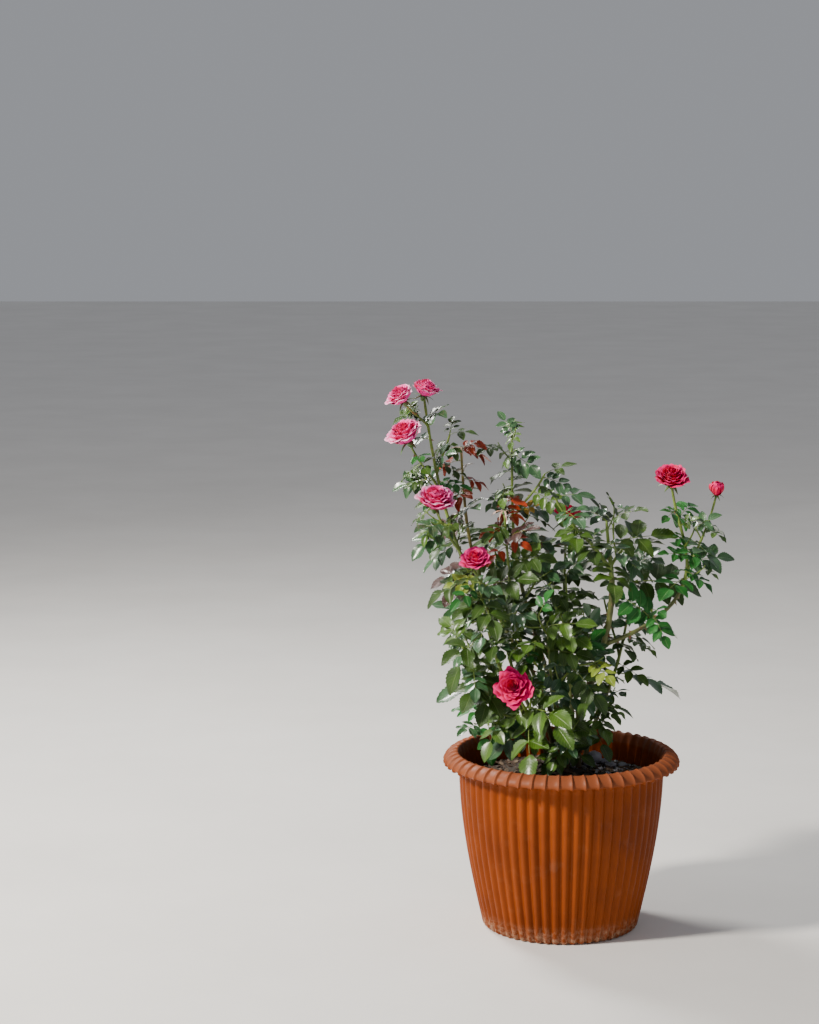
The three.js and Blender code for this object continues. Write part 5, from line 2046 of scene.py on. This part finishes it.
def addChip(kind, x, y, z, length, width, thick, draw):
    turn = draw() * 2 * math.pi
    tilt = (draw() - 0.5) * chips["tilt"]
    lean = (draw() - 0.5) * chips["lean"]
    along = vec(math.cos(turn) * math.cos(tilt), math.sin(turn) * math.cos(tilt), math.sin(tilt))
    normal = sideOf(along, vec(math.sin(lean), lean * 0.4, 1))
    side = cross(normal, along)
    points = []
    for h in (-0.5, 0.5):
        for u, v in chips["outline"]:
            wobble = nearOne(chips["edgeSpread"], draw)
            p = vec(x, y, z) + along * (u * length * wobble) + side * (v * width * wobble)
            points.append(p + normal * (h * thick * nearOne(chips["thickSpread"], draw)))
    n = len(chips["outline"])
    quads = [(k, (k + 1) % n, n + (k + 1) % n, n + k) for k in range(n)]
    triangles = []
    for k in range(1, n - 1):
        triangles += [(0, k + 1, k), (n, n + k, n + k + 1)]
    addTo(kind, points, quads, triangles)


def scatterChips():
    draw = seeded(chips["seed"])
    for _ in range(chips["count"]):
        angle, away = draw() * 2 * math.pi, (soilRadius - soilMargin) * math.sqrt(draw())
        x, y = away * math.cos(angle), away * math.sin(angle)
        length = between(chips["length"], draw() ** chips["mostlySmall"])
        kind = "chips" if draw() < chips["darkShare"] else "paleChips"
        z = soilTop(x, y) + between(chips["raise"], draw())
        width = length * between(chips["width"], draw())
        thick = between(chips["thick"], draw())
        addChip(kind, x, y, z, length, width, thick, draw)


crumbLooks = {  # darker and lighter colour, grain, roughness and depth of the relief in metres
    "darkSoil": {
        "dark": (0.012, 0.008, 0.006), "light": (0.06, 0.042, 0.028),
        "grain": 190, "rough": 0.9, "relief": 0.0012,
    },
    "greyStone": {
        "dark": (0.13, 0.13, 0.16), "light": (0.32, 0.32, 0.38),
        "grain": 60, "rough": 0.62, "relief": 0.0005,
    },
    "gravelStone": {
        "dark": (0.1, 0.1, 0.115), "light": (0.3, 0.295, 0.33),
        "grain": 90, "rough": 0.7, "relief": 0.0005,
    },
    "barkDark": {
        "dark": (0.02, 0.011, 0.007), "light": (0.09, 0.05, 0.028),
        "grain": 240, "rough": 0.9, "relief": 0.0012,
    },
    "barkPale": {
        "dark": (0.07, 0.045, 0.028), "light": (0.2, 0.14, 0.09),
        "grain": 260, "rough": 0.9, "relief": 0.0012,
    },
}
crumbEdges = (0.34, 0.68)  # where in the grain the darker colour ends and the lighter one starts
crumbStrength = 0.6


def crumbMaterial(name):
    look = crumbLooks[name]
    material, tree, shader = newMaterial(name, look["rough"])
    place = tree.nodes.new("ShaderNodeTexCoord")
    grain = noiseNode(tree, place.outputs["Object"], look["grain"], 6, 0.7)
    color = rampNode(tree, grain, crumbEdges, look["dark"], look["light"])
    tree.links.new(color, shader.inputs["Base Color"])
    bumpNode(tree, grain, shader, crumbStrength, look["relief"])
    return material


soilMesh()
pieceOf("potting_soil", "soil", crumbMaterial("darkSoil"), ("soil",))
for i, pebble in enumerate(pebbles):
    x, y, size, tall = pebble["x"], pebble["y"], pebble["size"], pebble["tall"]
    z = soilTop(x, y) + size * tall * pebbleSeat
    addStone("pebbles", x, y, z, size, tall, pebbleSeed + i, *pebbleGrid)
pebbleNodes = tuple("pebble_" + str(i + 1) for i in range(len(pebbles)))
pieceOf("pebbles", "pebbles", crumbMaterial("greyStone"), pebbleNodes)
scatterGravel()
pieceOf("gravel", "gravel", crumbMaterial("gravelStone"))
scatterChips()
pieceOf("bark_chips", "chips", crumbMaterial("barkDark"), smooth=False)
pieceOf("pale_bark_chips", "paleChips", crumbMaterial("barkPale"), smooth=False)
print("soil done")


# Stage: a pale floor, soft lights and the camera
stageLook = {
    "floorSize": 14,  # metres from the middle to an edge
    "floor": (0.74, 0.72, 0.69),
    "floorPale": (0.8, 0.78, 0.75),
    "floorRough": 0.8,
    "patches": 3,
    "patchEdges": (0.3, 0.7),
    "grain": 220,
    "relief": 0.1,
    "reliefDepth": 0.001,
    "sky": (0.9, 0.93, 1.0),
    "skyPower": 0.34,
}


def makeFloor():
    mesh = bpy.data.meshes.new("floor")
    size = stageLook["floorSize"]
    corners = [(x * size, y * size, 0) for x, y in ((-1, -1), (1, -1), (1, 1), (-1, 1))]
    mesh.from_pydata(corners, [], [(0, 1, 2, 3)])
    material, tree, shader = newMaterial("floorPlaster", stageLook["floorRough"])
    place = tree.nodes.new("ShaderNodeTexCoord")
    patches = noiseNode(tree, place.outputs["Object"], stageLook["patches"], 6)
    color = rampNode(tree, patches, stageLook["patchEdges"], stageLook["floor"], stageLook["floorPale"])
    tree.links.new(color, shader.inputs["Base Color"])
    grain = noiseNode(tree, place.outputs["Object"], stageLook["grain"], 4)
    bumpNode(tree, grain, shader, stageLook["relief"], stageLook["reliefDepth"])
    mesh.materials.append(material)
    floor = bpy.data.objects.new("floor", mesh)
    bpy.context.scene.collection.objects.link(floor)
    floor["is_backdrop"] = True


lights = {
    "key": {
        "place": (-2.6, -1.3, 2.45), "aim": (0, 0, 0.45),
        "size": 0.45, "power": 215, "color": (1.0, 0.94, 0.85),
    },
    "fill": {
        "place": (2.2, -1.9, 1.1), "aim": (0, 0, 0.4),
        "size": 1.8, "power": 3.5, "color": (0.9, 0.95, 1.0),
    },
    "back": {
        "place": (-1.3, 1.5, 2.3), "aim": (0, 0, 0.5),
        "size": 0.7, "power": 75, "color": (1.0, 0.98, 0.94),
    },
}


def aimed(place, aim):
    d = vec(*place) - vec(*aim)
    return (math.atan2(math.hypot(d[0], d[1]), d[2]), 0, math.atan2(d[0], -d[1]))


def makeLights():
    for name, settings in lights.items():
        light = bpy.data.lights.new(name, "AREA")
        light.shape = "DISK"
        light.size = settings["size"]
        light.energy = settings["power"]
        light.color = settings["color"]
        lamp = bpy.data.objects.new(name, light)
        lamp.location = settings["place"]
        lamp.rotation_euler = aimed(settings["place"], settings["aim"])
        bpy.context.scene.collection.objects.link(lamp)
    world = bpy.data.worlds.new("studio")
    world.use_nodes = True
    sky = world.node_tree.nodes["Background"]
    sky.inputs["Color"].default_value = (*stageLook["sky"], 1)
    sky.inputs["Strength"].default_value = stageLook["skyPower"]
    bpy.context.scene.world = world


# Where the photo was taken from, fitted to the pot's rim and foot
view = {"place": (-0.2248, -3.8384, 1.1823), "pitch": 81.67, "lens": 93.28, "sensor": 36}


def makeCamera():
    lens = bpy.data.cameras.new("photoView")
    lens.sensor_fit = "VERTICAL"
    lens.sensor_height = view["sensor"]
    lens.lens = view["lens"]
    camera = bpy.data.objects.new("photoView", lens)
    camera.location = view["place"]
    camera.rotation_euler = (math.radians(view["pitch"]), 0, 0)
    bpy.context.scene.collection.objects.link(camera)
    bpy.context.scene.camera = camera


makeFloor()
makeLights()
makeCamera()
print("stage done")

boxes = {"cad": cadBox, "visual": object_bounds()}
{key: [[float(v) for v in corner] for corner in box] for key, box in boxes.items()}
